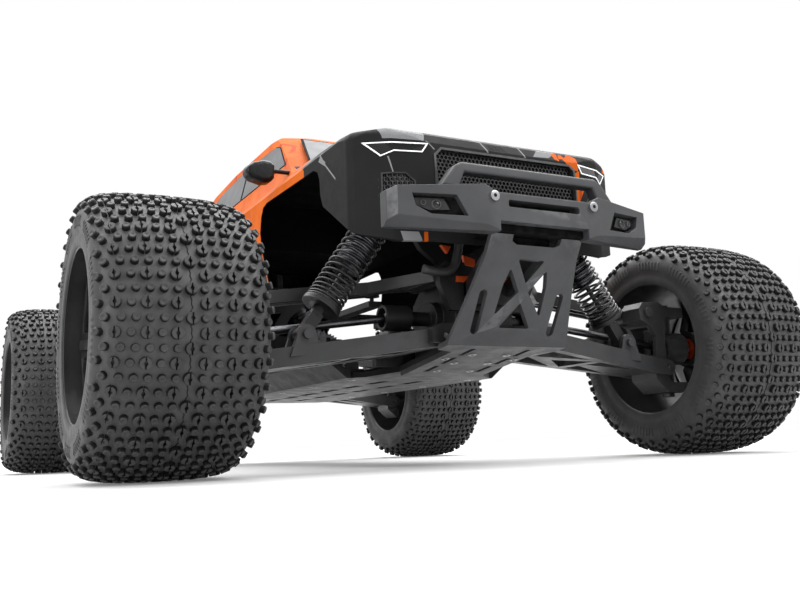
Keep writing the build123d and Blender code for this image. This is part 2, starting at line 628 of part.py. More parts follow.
def centre_driveline():
    spur = Pos(0, GEAR_Y, DRIVE_Z) * gear(SPUR_TEETH, 23.85, GEAR_WIDTH, 6)
    diff = rod(6, (0, GEAR_Y - 3, DRIVE_Z), (0, GEAR_Y + GEAR_WIDTH + 3, DRIVE_Z)) + rod(
        15, (0, GEAR_Y - 4, DRIVE_Z), (0, GEAR_Y, DRIVE_Z))
    reach = -GEARBOX_BACK + 5
    shaft = rod(3.9, (0, -reach, DRIVE_Z), (0, reach, DRIVE_Z))
    for y in (19 - reach, GEAR_Y - 24, GEAR_Y + 92, reach - 19):
        shaft += rod(6.5, (0, y - 8, DRIVE_Z), (0, y + 8, DRIVE_Z))
    return [shaft + diff + spur]


def pinion():
    place = Pos(MOTOR_X, GEAR_Y, DRIVE_Z)
    teeth = place * gear(PINION_TEETH, 8.4, GEAR_WIDTH, 2.5, turn=180 / PINION_TEETH)
    shaft = rod(2.5, (MOTOR_X, GEAR_Y - 1, DRIVE_Z), (MOTOR_X, GEAR_Y + 15.8, DRIVE_Z))
    return [teeth, shaft]


MOTOR_FACE = GEAR_Y + 19.0


def motor():
    can = rod(20, (MOTOR_X, MOTOR_FACE, DRIVE_Z), (MOTOR_X, MOTOR_FACE + 66, DRIVE_Z))
    for i in range(12):
        fin = block(MOTOR_X - 1, MOTOR_X + 1, MOTOR_FACE + 8, MOTOR_FACE + 58, DRIVE_Z + 18.8, DRIVE_Z + 21.5)
        can -= fin.rotate(Axis((MOTOR_X, 0, DRIVE_Z), (0, 1, 0)), 30 * i)
    return can


def centre_gearbox():
    z = PLATE_Z + PLATE_T + 0.1
    front = block(-14, 14, GEAR_Y - 12, GEAR_Y - 6, z, DRIVE_Z + 16)
    plate = block(MOTOR_X - 18, 16, MOTOR_FACE - 5.1, MOTOR_FACE - 0.1, z, DRIVE_Z + 21)
    plate -= rod(3.0, (MOTOR_X, MOTOR_FACE - 9, DRIVE_Z), (MOTOR_X, MOTOR_FACE + 1, DRIVE_Z))
    made = []
    for part in (front, plate):
        made.append(part - rod(6.3, (0, 0, DRIVE_Z), (0, 80, DRIVE_Z)))
    return made


def speed_controller():
    z = PLATE_Z + PLATE_T + 0.1
    case = block(10, 48, MOTOR_FACE + 4, MOTOR_FACE + 62, z, 100)
    for i in range(8):
        case -= block(14, 44, MOTOR_FACE + 9 + 6.5 * i, MOTOR_FACE + 12 + 6.5 * i, 94, 101)
    return case


# ---- body shell and its mounts ----
def body_posts():
    made = []
    for end, top in ((-1, 215.4), (1, 222.0)):
        bar = block(-40, 40, end * 221, end * 240, 200.1, 205)
        for s in (-1, 1):
            bar += rod(4, (s * 33, end * 230.5, 204), (s * 33, end * 230.5, top))
        made.append(bar)
    return made


def cab(half_low, half_top, z_low, z_top, windscreen, rear):
    """Glasshouse: a block that leans in on all sides; windscreen and rear are (low y, top y)."""
    low = Face(Wire.make_polygon([(-half_low, windscreen[0], z_low), (half_low, windscreen[0], z_low),
                                  (half_low, rear[0], z_low), (-half_low, rear[0], z_low)]))
    top = Face(Wire.make_polygon([(-half_top, windscreen[1], z_top), (half_top, windscreen[1], z_top),
                                  (half_top, rear[1], z_top), (-half_top, rear[1], z_top)]))
    return Solid.make_loft([low.outer_wire(), top.outer_wire()], True)


def shell_lower(inset):
    front, back, half = SHELL_FRONT + inset, SHELL_REAR - inset, SHELL_HALF - inset
    side = [(front, SHELL_LOW), (front - 4, 168), (front + 1, 205 - inset), (front + 14, 215 - inset), (-165, 226 - inset),
            (150, 232 - inset), (back - 6, 230 - inset), (back, 205), (back - 8, SHELL_LOW)]
    section = [(-half, SHELL_LOW), (half, SHELL_LOW), (half, 208), (half - 10, 240), (-half + 10, 240), (-half, 208)]
    return prism_x(side, -half, half) & prism_y(section, front - 10, back + 10)


def body_shell():
    outer = shell_lower(0) + cab(97, 70, 222, 286, (-168, -78), (158, 112))
    t = SHELL_T
    inner = shell_lower(t) + cab(97 - t, 70 - t, 222 - t, 286 - t, (-168 + 2 * t, -78 + t), (158 - 2 * t, 112 - t))
    inner += block(-SHELL_HALF + t, SHELL_HALF - t, SHELL_FRONT + t, SHELL_REAR - 8 - t, SHELL_LOW - 1, SHELL_LOW + 1)
    shell = outer - inner
    for end in (-1, 1):
        arch = [(end * 274, 140), (end * 273, 150), (end * 226, 179), (end * 222, 200), (end * 214, 206),
                (end * 112, 206), (end * 103, 200), (end * 99, 185), (end * 118, 140)]
        shell -= prism_x(arch, -SHELL_HALF - 5, SHELL_HALF + 5)
    return shell


def side_mirror():
    stem = block(93.4, 106, -126.5, -121.5, 231.5, 234.5)
    head = prism_y([(128, 228.5), (126, 233.5), (121, 237.3), (113.5, 239.6), (105.5, 239.4), (103.5, 236), (104, 226),
                    (107, 222), (114, 221.3), (123, 223.8)], -131, -117)
    return stem + head


def rear_bumper():
    beam = prism_z([(-80, 318), (-70, 326), (70, 326), (80, 318), (80, 310), (-80, 310)], 120, 138)
    beam += prism_x([(326, 122), (333, 126), (333, 132), (326, 136)], -60, 60)
    beam += block(-20, 20, 264.1, 268, 108, 124)
    for s in (-1, 1):
        beam += prism_x([(266, 110), (266, 122), (312, 136), (312, 124)], s * 12, s * 20)
    skid = prism_x([(281, 78.5), (281, 82.5), (311, 122), (315, 120)], -40, 40)
    return [beam, skid]


# ---- output ----
def save(name, parts):
    """Writes one node; parts is one shape or a list of separate solids."""
    parts = parts if isinstance(parts, list) else [parts]
    solids = [solid for part in parts for solid in part.solids()]
    export_step(Compound(children=solids) if len(solids) > 1 else solids[0], f"parts/{name}.step")


def save_corner(name, parts, ends=("front", "rear")):
    """Writes a front left part, and its mirrors, under the corners' names."""
    parts = parts if isinstance(parts, list) else [parts]
    for end in ends:
        placed = parts if end == "front" else [part.mirror(Plane.XZ) for part in parts]
        save(f"{end}_left_{name}", placed)
        save(f"{end}_right_{name}", [part.mirror(Plane.YZ) for part in placed])


def main():
    os.makedirs("parts", exist_ok=True)
    save_corner("tyre", tyre())
    save_corner("wheel", [rim()] + wheel_drive())
    save_corner("lower_arm", lower_arm())
    save_corner("upper_arm", upper_arm())
    save_corner("caster_block", caster_block(), ends=("front",))
    save_corner("steering_knuckle", steering_knuckle(), ends=("front",))
    save_corner("hub_carrier", hub_carrier(), ends=("rear",))
    save_corner("half_shaft", half_shaft())
    save_corner("tie_rod", tie_rod(), ends=("front",))
    save_corner("shock_rod", shock_rod())
    save_corner("shock_body", shock_body())
    save_corner("shock_spring", shock_spring())
    save("axle_gearboxes", both_ends(gearbox()))
    save("shock_towers", both_ends(shock_tower()))
    braces = hinge_pin_braces()
    save("hinge_pin_braces", braces + [part.mirror(Plane.XZ) for part in braces])
    pins = hinge_pins()
    save("fasteners", pins + [part.mirror(Plane.XZ) for part in pins] + chassis_screws() + bumper_screws())
    save("chassis_plate", chassis_plate())
    save("side_guards", both_sides(side_guard()))
    save("front_bumper", front_bumper())
    save("front_skid_plate", front_skid_plate())
    save("rear_bumper", rear_bumper())
    save("servo_saver", servo_saver())
    save("steering_idler", steering_idler())
    save("drag_link", drag_link())
    save("steering_servo", steering_servo())
    save("centre_driveline", centre_driveline())
    save("pinion", pinion())
    save("motor", motor())
    save("centre_gearbox", centre_gearbox())
    save("speed_controller", speed_controller())
    save("body_posts", body_posts())
    save("body_shell", [body_shell()] + both_sides(side_mirror()))


main()
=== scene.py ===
import json
import math

import bmesh
import bpy
import numpy as np
from mathutils import Matrix, Vector


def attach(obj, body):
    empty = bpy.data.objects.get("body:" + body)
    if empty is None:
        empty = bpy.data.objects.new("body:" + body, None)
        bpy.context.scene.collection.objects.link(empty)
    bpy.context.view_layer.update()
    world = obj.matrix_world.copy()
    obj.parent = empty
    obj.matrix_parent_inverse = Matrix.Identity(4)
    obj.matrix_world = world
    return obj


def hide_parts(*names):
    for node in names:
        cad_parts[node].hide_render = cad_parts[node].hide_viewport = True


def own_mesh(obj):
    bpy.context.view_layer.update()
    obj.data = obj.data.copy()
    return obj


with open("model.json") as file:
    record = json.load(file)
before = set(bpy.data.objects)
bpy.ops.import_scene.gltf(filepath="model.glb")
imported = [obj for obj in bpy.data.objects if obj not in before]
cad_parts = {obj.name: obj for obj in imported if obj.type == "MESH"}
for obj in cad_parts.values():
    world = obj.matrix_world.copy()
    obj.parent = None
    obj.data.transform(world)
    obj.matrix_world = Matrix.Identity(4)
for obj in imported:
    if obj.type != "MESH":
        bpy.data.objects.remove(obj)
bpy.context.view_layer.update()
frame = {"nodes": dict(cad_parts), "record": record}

# -Y is the truck's nose, +X its left, +Z up, the ground at 0. Blender and the materials are in metres;
# shapes are drawn in millimetres and scaled by MM.
MM = 0.001
TURN = 2 * math.pi
CORNERS = [(end, side) for end in ("front", "rear") for side in ("left", "right")]
WHEEL_X, AXLE_Y, WHEEL_Z = 218, 231, 85


def corner_signs(end, side):
    """(+1 on the left or -1 on the right, -1 at the front or +1 at the rear)."""
    return (1 if side == "left" else -1), (-1 if end == "front" else 1)


# ---- materials ----
class Nodes:
    """A material's node tree with short ways to add and join nodes."""

    def __init__(self, name):
        self.material = bpy.data.materials.new(name)
        self.material.use_nodes = True
        self.tree = self.material.node_tree
        self.shader = self.tree.nodes["Principled BSDF"]
        self.place = self.node("TexCoord").outputs["Object"]

    def join(self, value, socket):
        if isinstance(value, bpy.types.NodeSocket):
            self.tree.links.new(value, socket)
        else:
            socket.default_value = value

    def fill(self, node, values):
        for key, value in values.items():
            self.join(value, node.inputs[key.replace("_", " ")])
        return node

    def node(self, kind, **values):
        return self.fill(self.tree.nodes.new("ShaderNode" + kind), values)

    def set(self, **values):
        self.fill(self.shader, values)

    def noise(self, scale, detail=4.0, rough=0.6, stretch=None, output="Fac"):
        place = self.node("Mapping", Vector=self.place, Scale=stretch).outputs[0] if stretch else self.place
        return self.node("TexNoise", Vector=place, Scale=scale, Detail=detail, Roughness=rough).outputs[output]

    def voronoi(self, scale, feature="F1", output="Distance", place=None):
        node = self.node("TexVoronoi", Vector=place or self.place, Scale=scale)
        node.feature = feature
        return node.outputs[output]

    def math(self, operation, a, b=0.0):
        node = self.node("Math")
        node.operation = operation
        self.join(a, node.inputs[0])
        self.join(b, node.inputs[1])
        return node.outputs[0]

    def ramp(self, value, low, high, out_low=0.0, out_high=1.0):
        node = self.node("MapRange", Value=value, From_Min=low, From_Max=high, To_Min=out_low, To_Max=out_high)
        node.interpolation_type = "SMOOTHSTEP"
        return node.outputs["Result"]

    def mix(self, fac, a, b, kind="RGBA"):
        node = self.node("Mix", Factor=fac)
        node.data_type = kind
        for key, value in (("A", a), ("B", b)):
            socket = next(i for i in node.inputs if i.name == key and i.type == kind)
            self.join(value if isinstance(value, bpy.types.NodeSocket) else (*value, 1.0), socket)
        return next(o for o in node.outputs if o.type == kind)

    def xyz(self):
        return self.node("SeparateXYZ", Vector=self.place).outputs

    # Masks are 1 inside and 0 outside.
    def above(self, value, limit):
        return self.math("GREATER_THAN", value, limit)

    def below(self, value, limit):
        return self.math("LESS_THAN", value, limit)

    def both(self, *masks):
        result = masks[0]
        for mask in masks[1:]:
            result = self.math("MULTIPLY", result, mask)
        return result

    def either(self, *masks):
        result = masks[0]
        for mask in masks[1:]:
            result = self.math("MAXIMUM", result, mask)
        return result

    def polygon(self, outline, a, b):
        """Inside a convex outline drawn in two of the coordinates, in millimetres."""
        sides = list(zip(outline, outline[1:] + outline[:1]))
        sign = 1 if sum(a0 * b1 - a1 * b0 for (a0, b0), (a1, b1) in sides) > 0 else -1
        halves = []
        for (a0, b0), (a1, b1) in sides:
            out_a, out_b = sign * (b1 - b0), sign * (a0 - a1)
            across = self.math("ADD", self.both(a, out_a), self.both(b, out_b))
            halves.append(self.below(across, (out_a * a0 + out_b * b0) * MM))
        return self.both(*halves)

    def polygons(self, outlines, a, b):
        return self.either(*[self.polygon(outline, a, b) for outline in outlines])

    def pointed_edges(self, low, high):
        return self.ramp(self.node("NewGeometry").outputs["Pointiness"], low, high)

    def bump(self, *layers):
        """Each layer is (height, distance in metres, strength)."""
        normal = None
        for height, distance, strength in layers:
            node = self.node("Bump", Height=height, Distance=distance, Strength=strength)
            if normal:
                self.join(normal, node.inputs["Normal"])
            normal = node.outputs["Normal"]
        self.set(Normal=normal)


def shade(colour, factor, lift=0.0):
    return tuple(min(1.0, factor * c + lift) for c in colour)


def moulded(name, colour, roughness=0.5, grain=0.00012, shine=0.32):
    """Glass-filled nylon: fine pebble grain, faint flow streaks, and lighter edges that are partly scuffing and
    partly a painted highlight.
    """
    m = Nodes(name)
    tone = m.mix(m.ramp(m.noise(38, 5), 0.3, 0.7), shade(colour, 0.75), colour)
    # Lighter sharp edges: partly scuffing, partly a painted highlight where the bevels catch the light.
    wear_and_highlight = m.both(m.pointed_edges(0.53, 0.6), m.ramp(m.noise(160, 3), 0.35, 0.6), 0.5)
    m.set(Base_Color=m.mix(wear_and_highlight, tone, shade(colour, 2.6, 0.01)), Specular_IOR_Level=shine,
          Roughness=m.ramp(m.noise(75, 4), 0.25, 0.75, roughness - 0.07, roughness + 0.09))
    m.bump((m.noise(2600, 2, 0.5), grain, 0.55), (m.noise(240, 3), 0.0003, 0.12))
    return m.material


def rubber(name, colour, shine=0.42):
    """Soft tyre rubber: fine pitting, dusty patches and a slight sheen."""
    m = Nodes(name)
    m.set(Base_Color=m.mix(m.ramp(m.noise(55, 6), 0.42, 0.72), colour, shade(colour, 1.6, 0.004)),
          Roughness=m.ramp(m.noise(140, 4), 0.3, 0.7, 0.5, 0.66),
          Specular_IOR_Level=shine, Sheen_Weight=0.06, Sheen_Roughness=0.4)
    m.bump((m.noise(1900, 3, 0.6), 0.00015, 0.6), (m.voronoi(420), 0.0001, 0.2))
    return m.material


def anodised(name, colour):
    """Bright anodised alloy: even colour with a fine satin and slightly paler edges."""
    m = Nodes(name)
    tone = m.mix(m.ramp(m.noise(45, 3), 0.35, 0.65), shade(colour, 0.8), colour)
    tone = m.mix(m.both(m.pointed_edges(0.54, 0.62), 0.35), tone, (0.9, 0.25, 0.08))
    m.set(Base_Color=tone, Metallic=0.35, Roughness=m.ramp(m.noise(700, 3), 0.3, 0.7, 0.28, 0.4))
    m.bump((m.noise(1500, 2), 0.00005, 0.35))
    return m.material


def metal(name, colour, roughness=0.3, brushed=(1, 1, 1), metallic=1.0):
    """Turned, anodised or coated metal: fine streaks along the work and a little staining."""
    m = Nodes(name)
    streak = m.noise(900, 3, 0.6, stretch=brushed)
    tone = m.mix(m.ramp(m.noise(60, 4), 0.35, 0.7), colour, shade(colour, 1.35, 0.02))
    tone = m.mix(m.both(m.pointed_edges(0.54, 0.62), 0.6), tone, shade(colour, 1.9, 0.05))
    m.set(Base_Color=tone, Metallic=metallic,
          Roughness=m.ramp(streak, 0.3, 0.7, roughness - 0.06, roughness + 0.1))
    m.bump((streak, 0.00006, 0.4))
    return m.material


PLASTIC = moulded("moulded_nylon", (0.009, 0.0092, 0.010), 0.42)
BUMPER = moulded("bumper_nylon", (0.038, 0.039, 0.041), 0.46)
CHASSIS = moulded("chassis_composite", (0.0062, 0.0064, 0.0068), 0.42, shine=0.2)
ARM = moulded("arm_nylon", (0.031, 0.0313, 0.033), 0.42)
WHEEL = moulded("wheel_nylon", (0.0085, 0.0086, 0.0091), 0.36)
MIRROR_SHELL = moulded("mirror_plastic", (0.003, 0.0031, 0.0036), 0.3, 0.00004, 0.2)
# Near-black, used for black parts and print and also as painted shade in recesses, slots, sockets and the shell's
# hollow.
BLACK_AND_PAINTED_SHADE = moulded("black_and_painted_shade", (0.0015, 0.0015, 0.0015), 0.8, shine=0.06)
TYRE = rubber("tyre_rubber", (0.0145, 0.0145, 0.0147))
# The tread floor between the pins is a little lighter than the pin tops: painted light on the carcass.
PAINTED_LIGHT_TREAD_FLOOR = rubber("tread_floor_painted_light", (0.0165, 0.0165, 0.0167), 0.6)
# Near-black rubber for the tread seam, and on the foot and wall faces of pins and lugs as painted shade on their
# sides.
SEAM_AND_PIN_SHADE = rubber("tyre_seam_and_painted_pin_shade", (0.0025, 0.0025, 0.0025), 0.15)
ORANGE = anodised("anodised_orange", (0.56, 0.055, 0.005))
STEEL = metal("turned_steel", (0.25, 0.25, 0.26), brushed=(1, 1, 6))
DARK_STEEL = metal("dark_steel", (0.10, 0.10, 0.107), 0.32, brushed=(1, 6, 1))
BLACK_COAT = metal("black_coated_spring", (0.014, 0.014, 0.015), metallic=0.6)
SHOCK_ALLOY = metal("shock_anodised", (0.040, 0.040, 0.045), brushed=(1, 6, 1))


# ---- outlines, in millimetres ----
def box(x0, z0, x1, z1):
    return [(x0, z0), (x1, z0), (x1, z1), (x0, z1)]


def sided(outline, sign):
    return [(x * sign, z) for x, z in outline]


def with_mirror(outline):
    """The outline and its mirror image, which runs the same way round."""
    return outline, sided(outline[::-1], -1)


def middle(outline):
    return sum((Vector(p) for p in outline), Vector((0, 0))) / len(outline)


def on_axis(point, axis, level):
    """A point of an outline at a level along the axis. The outline's own two coordinates are in X, Y, Z order."""
    a, b = point
    return Vector({"x": (level, a, b), "y": (a, level, b), "z": (a, b, level)}[axis])


# ---- meshes ----
def quads(rows, n, base=0, loop=False, flip=False):
    """Faces between closed rows of n points each; loop joins the last row to the first."""
    faces = []
    for row in range(rows if loop else rows - 1):
        a, b = base + row * n, base + (row + 1) % rows * n
        for k in range(n):
            j = (k + 1) % n
            faces.append((a + j, a + k, b + k, b + j) if flip else (a + k, a + j, b + j, b + k))
    return faces


def linked(name, mesh, materials):
    for material in materials if isinstance(materials, (list, tuple)) else [materials]:
        mesh.materials.append(material)
    obj = bpy.data.objects.new(name, mesh)
    bpy.context.collection.objects.link(obj)
    return obj


def from_points(name, verts, faces, materials, indices=None):
    """An object from points in metres; indices are the faces' material numbers."""
    mesh = bpy.data.meshes.new(name)
    mesh.from_pydata([tuple(v) for v in verts], [], faces)
    obj = linked(name, mesh, materials)
    if indices is not None:
        mesh.polygons.foreach_set("material_index", indices)
    mesh.update()
    return obj


def place(obj, body, replaces=(), slot=None, angle=35.0, flat_faces=True):
    """Shades the piece smooth across edges flatter than angle and hangs it on its body. With flat_faces, large
    faces stay flat up to their rounded edges."""
    obj.data.shade_smooth()
    obj.data.set_sharp_from_angle(angle=math.radians(angle))
    if flat_faces:
        obj.modifiers.new("flat_faces", "WEIGHTED_NORMAL").keep_sharp = True
    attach(obj, body)
    if replaces:
        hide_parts(replaces)
    return obj


def apply_modifiers(obj):
    depsgraph = bpy.context.evaluated_depsgraph_get()
    mesh = bpy.data.meshes.new_from_object(obj.evaluated_get(depsgraph))
    obj.modifiers.clear()
    obj.data = mesh
    return obj


def bevelled(obj, width, segments=3, limit=25):
    """Rounds the edges sharper than limit degrees by width, in millimetres."""
    modifier = obj.modifiers.new("bevel", "BEVEL")
    modifier.width = width * MM
    modifier.segments = segments
    modifier.limit_method = "ANGLE"
    modifier.angle_limit = math.radians(limit)
    modifier.use_clamp_overlap = True
    return apply_modifiers(obj)


def combined(obj, other, operation="DIFFERENCE"):
    """Cuts other out of obj, or joins it on, and removes other."""
    modifier = obj.modifiers.new("boolean", "BOOLEAN")
    modifier.operation = operation
    modifier.solver = "EXACT"
    modifier.object = other
    bpy.context.view_layer.update()
    apply_modifiers(obj)
    bpy.data.objects.remove(other)
    return obj


def joined(name, objects):
    """One object from several, keeping their materials."""
    materials, verts, faces, indices = [], [], [], []
    for obj in objects:
        base = len(verts)
        for material in obj.data.materials:
            if material not in materials:
                materials.append(material)
        verts += [obj.matrix_world @ v.co for v in obj.data.vertices]
        for polygon in obj.data.polygons:
            faces.append(tuple(base + i for i in polygon.vertices))
            indices.append(materials.index(obj.data.materials[polygon.material_index]))
        bpy.data.objects.remove(obj)
    return from_points(name, verts, faces, materials, indices)


def softened(node, material, width=0.5):
    """A copy of a CAD node with its sharp edges rounded by width, in millimetres, standing for the node."""
    bm = bmesh.new()
    bm.from_mesh(frame["nodes"][node].data)
    bmesh.ops.remove_doubles(bm, verts=bm.verts, dist=1e-6)
    bmesh.ops.dissolve_limit(bm, angle_limit=math.radians(1.0), verts=bm.verts, edges=bm.edges)
    mesh = bpy.data.meshes.new(f"{node}_piece")
    bm.to_mesh(mesh)
    bm.free()
    obj = bevelled(linked(mesh.name, mesh, material), width, 2, 35)
    record = frame["record"]
    body = next(b for b, members in record["behaviour"]["bodies"].items() if node in members)
    place(obj, body, node, next(s["material_slot"] for s in record["subparts"] if s["node"] == node))


def repaint(node, material):
    """The CAD node itself, with a better material."""
    for slot in frame["nodes"][node].material_slots:
        slot.material = material


# ---- solids, drawn in millimetres ----
def from_bmesh(name, bm, materials):
    bmesh.ops.recalc_face_normals(bm, faces=bm.faces[:])
    mesh = bpy.data.meshes.new(name)
    bm.to_mesh(mesh)
    bm.free()
    mesh.transform(Matrix.Scale(MM, 4))
    return linked(name, mesh, materials)


def solid(name, rings, materials, capped=True, bevel=0.0, segments=2):
    """Solid through rings of points. It is capped at both ends, or its last ring joins the first."""
    bm = bmesh.new()
    verts = [bm.verts.new(p) for ring in rings for p in ring]
    n = len(rings[0])
    for face in quads(len(rings), n, loop=not capped):
        bm.faces.new([verts[i] for i in face])
    if capped:
        bm.faces.new(verts[:n][::-1])
        bm.faces.new(verts[-n:])
    obj = from_bmesh(name, bm, materials)
    return bevelled(obj, bevel, segments) if bevel else obj


def prism(name, outline, axis, low, high, materials, bevel=0.0, segments=2):
    """Outline in the plane across axis, carried along it from low to high."""
    rings = [[on_axis(p, axis, level) for p in outline] for level in (low, high)]
    return solid(name, rings, materials, bevel=bevel, segments=segments)


def circle(a, b, radius, sides):
    return [(a * math.cos(TURN * k / sides) + b * math.sin(TURN * k / sides)) * radius for k in range(sides)]


def turned(name, profile, origin, axis, material, sides=24, ring=False):
    """Round piece from a profile of (distance along axis, radius), solid or as a hollow ring."""
    direction = Vector(axis).normalized()
    a = direction.orthogonal().normalized()
    rings = [[Vector(origin) + direction * along + p for p in circle(a, direction.cross(a), radius, sides)]
             for along, radius in profile]
    return solid(name, rings, material, capped=not ring)


def revolved(name, outline, material, sides=96):
    """Closed outline of (distance along X, radius) turned about the X axis."""
    rings = [[(u, r * math.cos(TURN * k / sides), r * math.sin(TURN * k / sides)) for u, r in outline]
             for k in range(sides)]
    return solid(name, rings, material, capped=False)


CUBE_REACH = 400


def convex(name, planes, materials, inset=0.0):
    """Solid inside all the planes; each is (point, outward normal), and inset moves it inwards."""
    bm = bmesh.new()
    bmesh.ops.create_cube(bm, size=2 * CUBE_REACH)
    for point, normal in planes:
        n = Vector(normal).normalized()
        cut = bmesh.ops.bisect_plane(bm, geom=bm.verts[:] + bm.edges[:] + bm.faces[:],
                                     plane_co=Vector(point) - n * inset, plane_no=n, clear_outer=True)
        edges = [e for e in cut["geom_cut"] if isinstance(e, bmesh.types.BMEdge)]
        if edges:
            bmesh.ops.contextual_create(bm, geom=edges)
    return from_bmesh(name, bm, materials)


def at_each_wheel(piece, points, faces, materials, indices, node, slot, angle):
    """The mesh at each wheel's centre, mirrored on the right, standing for the wheel's CAD node."""
    for end, side in CORNERS:
        sx, sy = corner_signs(end, side)
        placed = (points * (sx, 1, 1) + (sx * WHEEL_X, sy * AXLE_Y, WHEEL_Z)) * MM
        obj = from_points(f"{end}_{side}_{piece}", placed, faces if sx > 0 else [f[::-1] for f in faces],
                          materials, indices)
        place(obj, f"{end}_{side}_spin", f"{end}_{side}_{node}", slot, angle, False)


# ---- tyres ----
TREAD_ROWS = 33           # pairs of rows round the tyre
PIN_COLUMN = 7.05         # between columns of a plain row
LUG_COLUMN = 7.6          # between columns of a row with lugs
COLUMNS = 6               # on each side of the middle
# Half the carcass, as (distance from the centre plane, radius): outside, then back along the inside.
PROFILE = [(0, 82.0), (10, 81.95), (20, 81.7), (29, 81.0), (35.5, 79.9), (40.5, 78.2), (44, 75.7), (46.4, 72.3),
           (47.5, 68.0), (47.6, 64.5), (47.0, 62.0), (46.9, 61.0), (46.5, 59.8), (46.9, 57.5), (47.0, 54.6),
           (46.7, 52.4), (46.15, 51.7)]
INSIDE = [(46.1, 57.8), (42.6, 58.3), (42.6, 53.9), (36, 53.9), (36, 58), (42.5, 66), (37.5, 75), (27, 78.6),
          (0, 79.6)]
TREAD_US, TREAD_RS = zip(*PROFILE[:9])
TREAD_LOW = 75.5          # the tread's floor reaches down to this radius
TYRE_MATERIALS = [TYRE, PAINTED_LIGHT_TREAD_FLOOR, SEAM_AND_PIN_SHADE]
ON_TYRE, ON_PAINTED_LIGHT_FLOOR, ON_SEAM_AND_PIN_SHADE = range(3)


def tread_radius(distance):
    """Radius of the carcass at a distance from its centre plane."""
    return float(np.interp(distance, TREAD_US, TREAD_RS))


def tread_frame(u, turn, step=0.2):
    """Point on the carcass and its across, round and outward directions, wheel axis along X."""
    away = abs(u)
    slope = (tread_radius(away + step) - tread_radius(away - step)) / (2 * step) * (1 if u >= 0 else -1)
    radial = np.array([0.0, math.cos(turn), math.sin(turn)])
    across = np.array([1.0, 0, 0]) + slope * radial
    across /= np.linalg.norm(across)
    round_ = np.array([0.0, math.sin(turn), -math.cos(turn)])
    return np.array([u, 0, 0]) + tread_radius(away) * radial, across, round_, np.cross(across, round_)


def pin_shape():
    """Round tread pin: flared foot, upright wall, rounded rim and a flat top with a small nub."""
    rings = [(2.55, -0.6), (2.25, 0.35), (2.15, 2.5), (1.75, 3.0), (0.95, 3.0), (0.7, 2.8)]
    sides, walls = 12, 2
    points = [(r * math.cos(TURN * k / sides), r * math.sin(TURN * k / sides), h)
              for r, h in rings for k in range(sides)]
    faces = quads(len(rings), sides) + [tuple((len(rings) - 1) * sides + k for k in range(sides))]
    # The foot and wall faces get the near-black rubber: painted shade on the pin's sides.
    return np.array(points), faces, [ON_SEAM_AND_PIN_SHADE] * (walls * sides) + [ON_TYRE] * (len(faces) - walls * sides)


def lug_shape():
    """Split lug: two half rounds with a slit between them that opens to a diamond."""
    radius, slit, diamond, height, walls = 3.3, 0.35, 1.15, 3.0, 2
    points, faces, indices = [], [], []
    for side in (1, -1):
        start = math.asin(slit / radius)
        arc = np.linspace(start, math.pi - start, 8)
        outline = [(radius * math.sin(a) * side, radius * math.cos(a)) for a in arc]
        outline += [(slit * side, -1.5), (diamond * side, 0), (slit * side, 1.5)]
        if side == -1:
            outline = outline[::-1]
        n, base = len(outline), len(points)
        centre = np.mean(outline, axis=0)
        levels = ((1.08, -0.6), (1.0, 0.3), (1.0, height - 0.4), (0.86, height))
        points += [(*(centre + (np.array(p) - centre) * grow), h) for grow, h in levels for p in outline]
        faces += quads(len(levels), n, base, flip=True)
        faces.append(tuple(base + 3 * n + k for k in reversed(range(n))))
        # The foot and wall faces get the near-black rubber: painted shade on the lug's sides.
        indices += [ON_SEAM_AND_PIN_SHADE] * (walls * n) + [ON_TYRE] * (n + 1)
    return np.array(points), faces, indices


def carcass():
    """Tyre body as one closed ring of points."""
    half = PROFILE + INSIDE[:-1]
    ring = [(-u, r) for u, r in reversed(half[1:])] + half + [INSIDE[-1]]
    around, n = 132, len(ring)
    verts = [(u, r * math.cos(TURN * k / around), r * math.sin(TURN * k / around))
             for k in range(around) for u, r in ring]
    # Carcass faces out on the tread take the lighter rubber: painted light between the pins.
    tread = [min(ring[i][1], ring[(i + 1) % n][1]) > TREAD_LOW and i != n - 1 for i in range(n)]
    return np.array(verts), quads(around, n, loop=True), [ON_PAINTED_LIGHT_FLOOR if t else ON_TYRE for t in tread] * around


def sidewall_ribs():
    """Plain raised ribs round both sidewalls, in short groups."""
    verts, faces = [], []
    places, group, shown, half_width = 120, 10, 7, 0.010
    section = ((63.2, 47.0), (63.2, 47.75), (69.0, 47.75), (70.4, 46.7))
    for side in (1, -1):
        for k in range(places):
            if k % group >= shown:
                continue
            base = len(verts)
            for r, u in section:
                for t in (TURN * k / places - half_width, TURN * k / places + half_width):
                    verts.append((u * side, r * math.cos(t), r * math.sin(t)))
            faces += [tuple(base + i for i in f) for f in (
                (0, 1, 3, 2), (2, 3, 5, 4), (4, 5, 7, 6), (0, 2, 4, 6), (1, 7, 5, 3), (0, 6, 7, 1))]
    return np.array(verts), faces, [ON_TYRE] * len(faces)


def seam_line():
    """Thin raised zigzag round the middle of the tread, gentler where it passes between the rows."""
    verts = []
    steps = TREAD_ROWS * 8
    for k in range(steps):
        turn = TURN * k / steps
        sway = 0.55 * (-1) ** k * (0.3 if k % 8 in (0, 7) else 1.0)
        for u, lift in ((sway - 0.35, -0.3), (sway - 0.2, 0.3), (sway + 0.2, 0.3), (sway + 0.35, -0.3)):
            r = tread_radius(abs(u)) + lift
            verts.append((u, r * math.cos(turn), r * math.sin(turn)))
    faces = quads(steps, 4, loop=True)
    return np.array(verts), faces, [ON_SEAM_AND_PIN_SHADE] * len(faces)


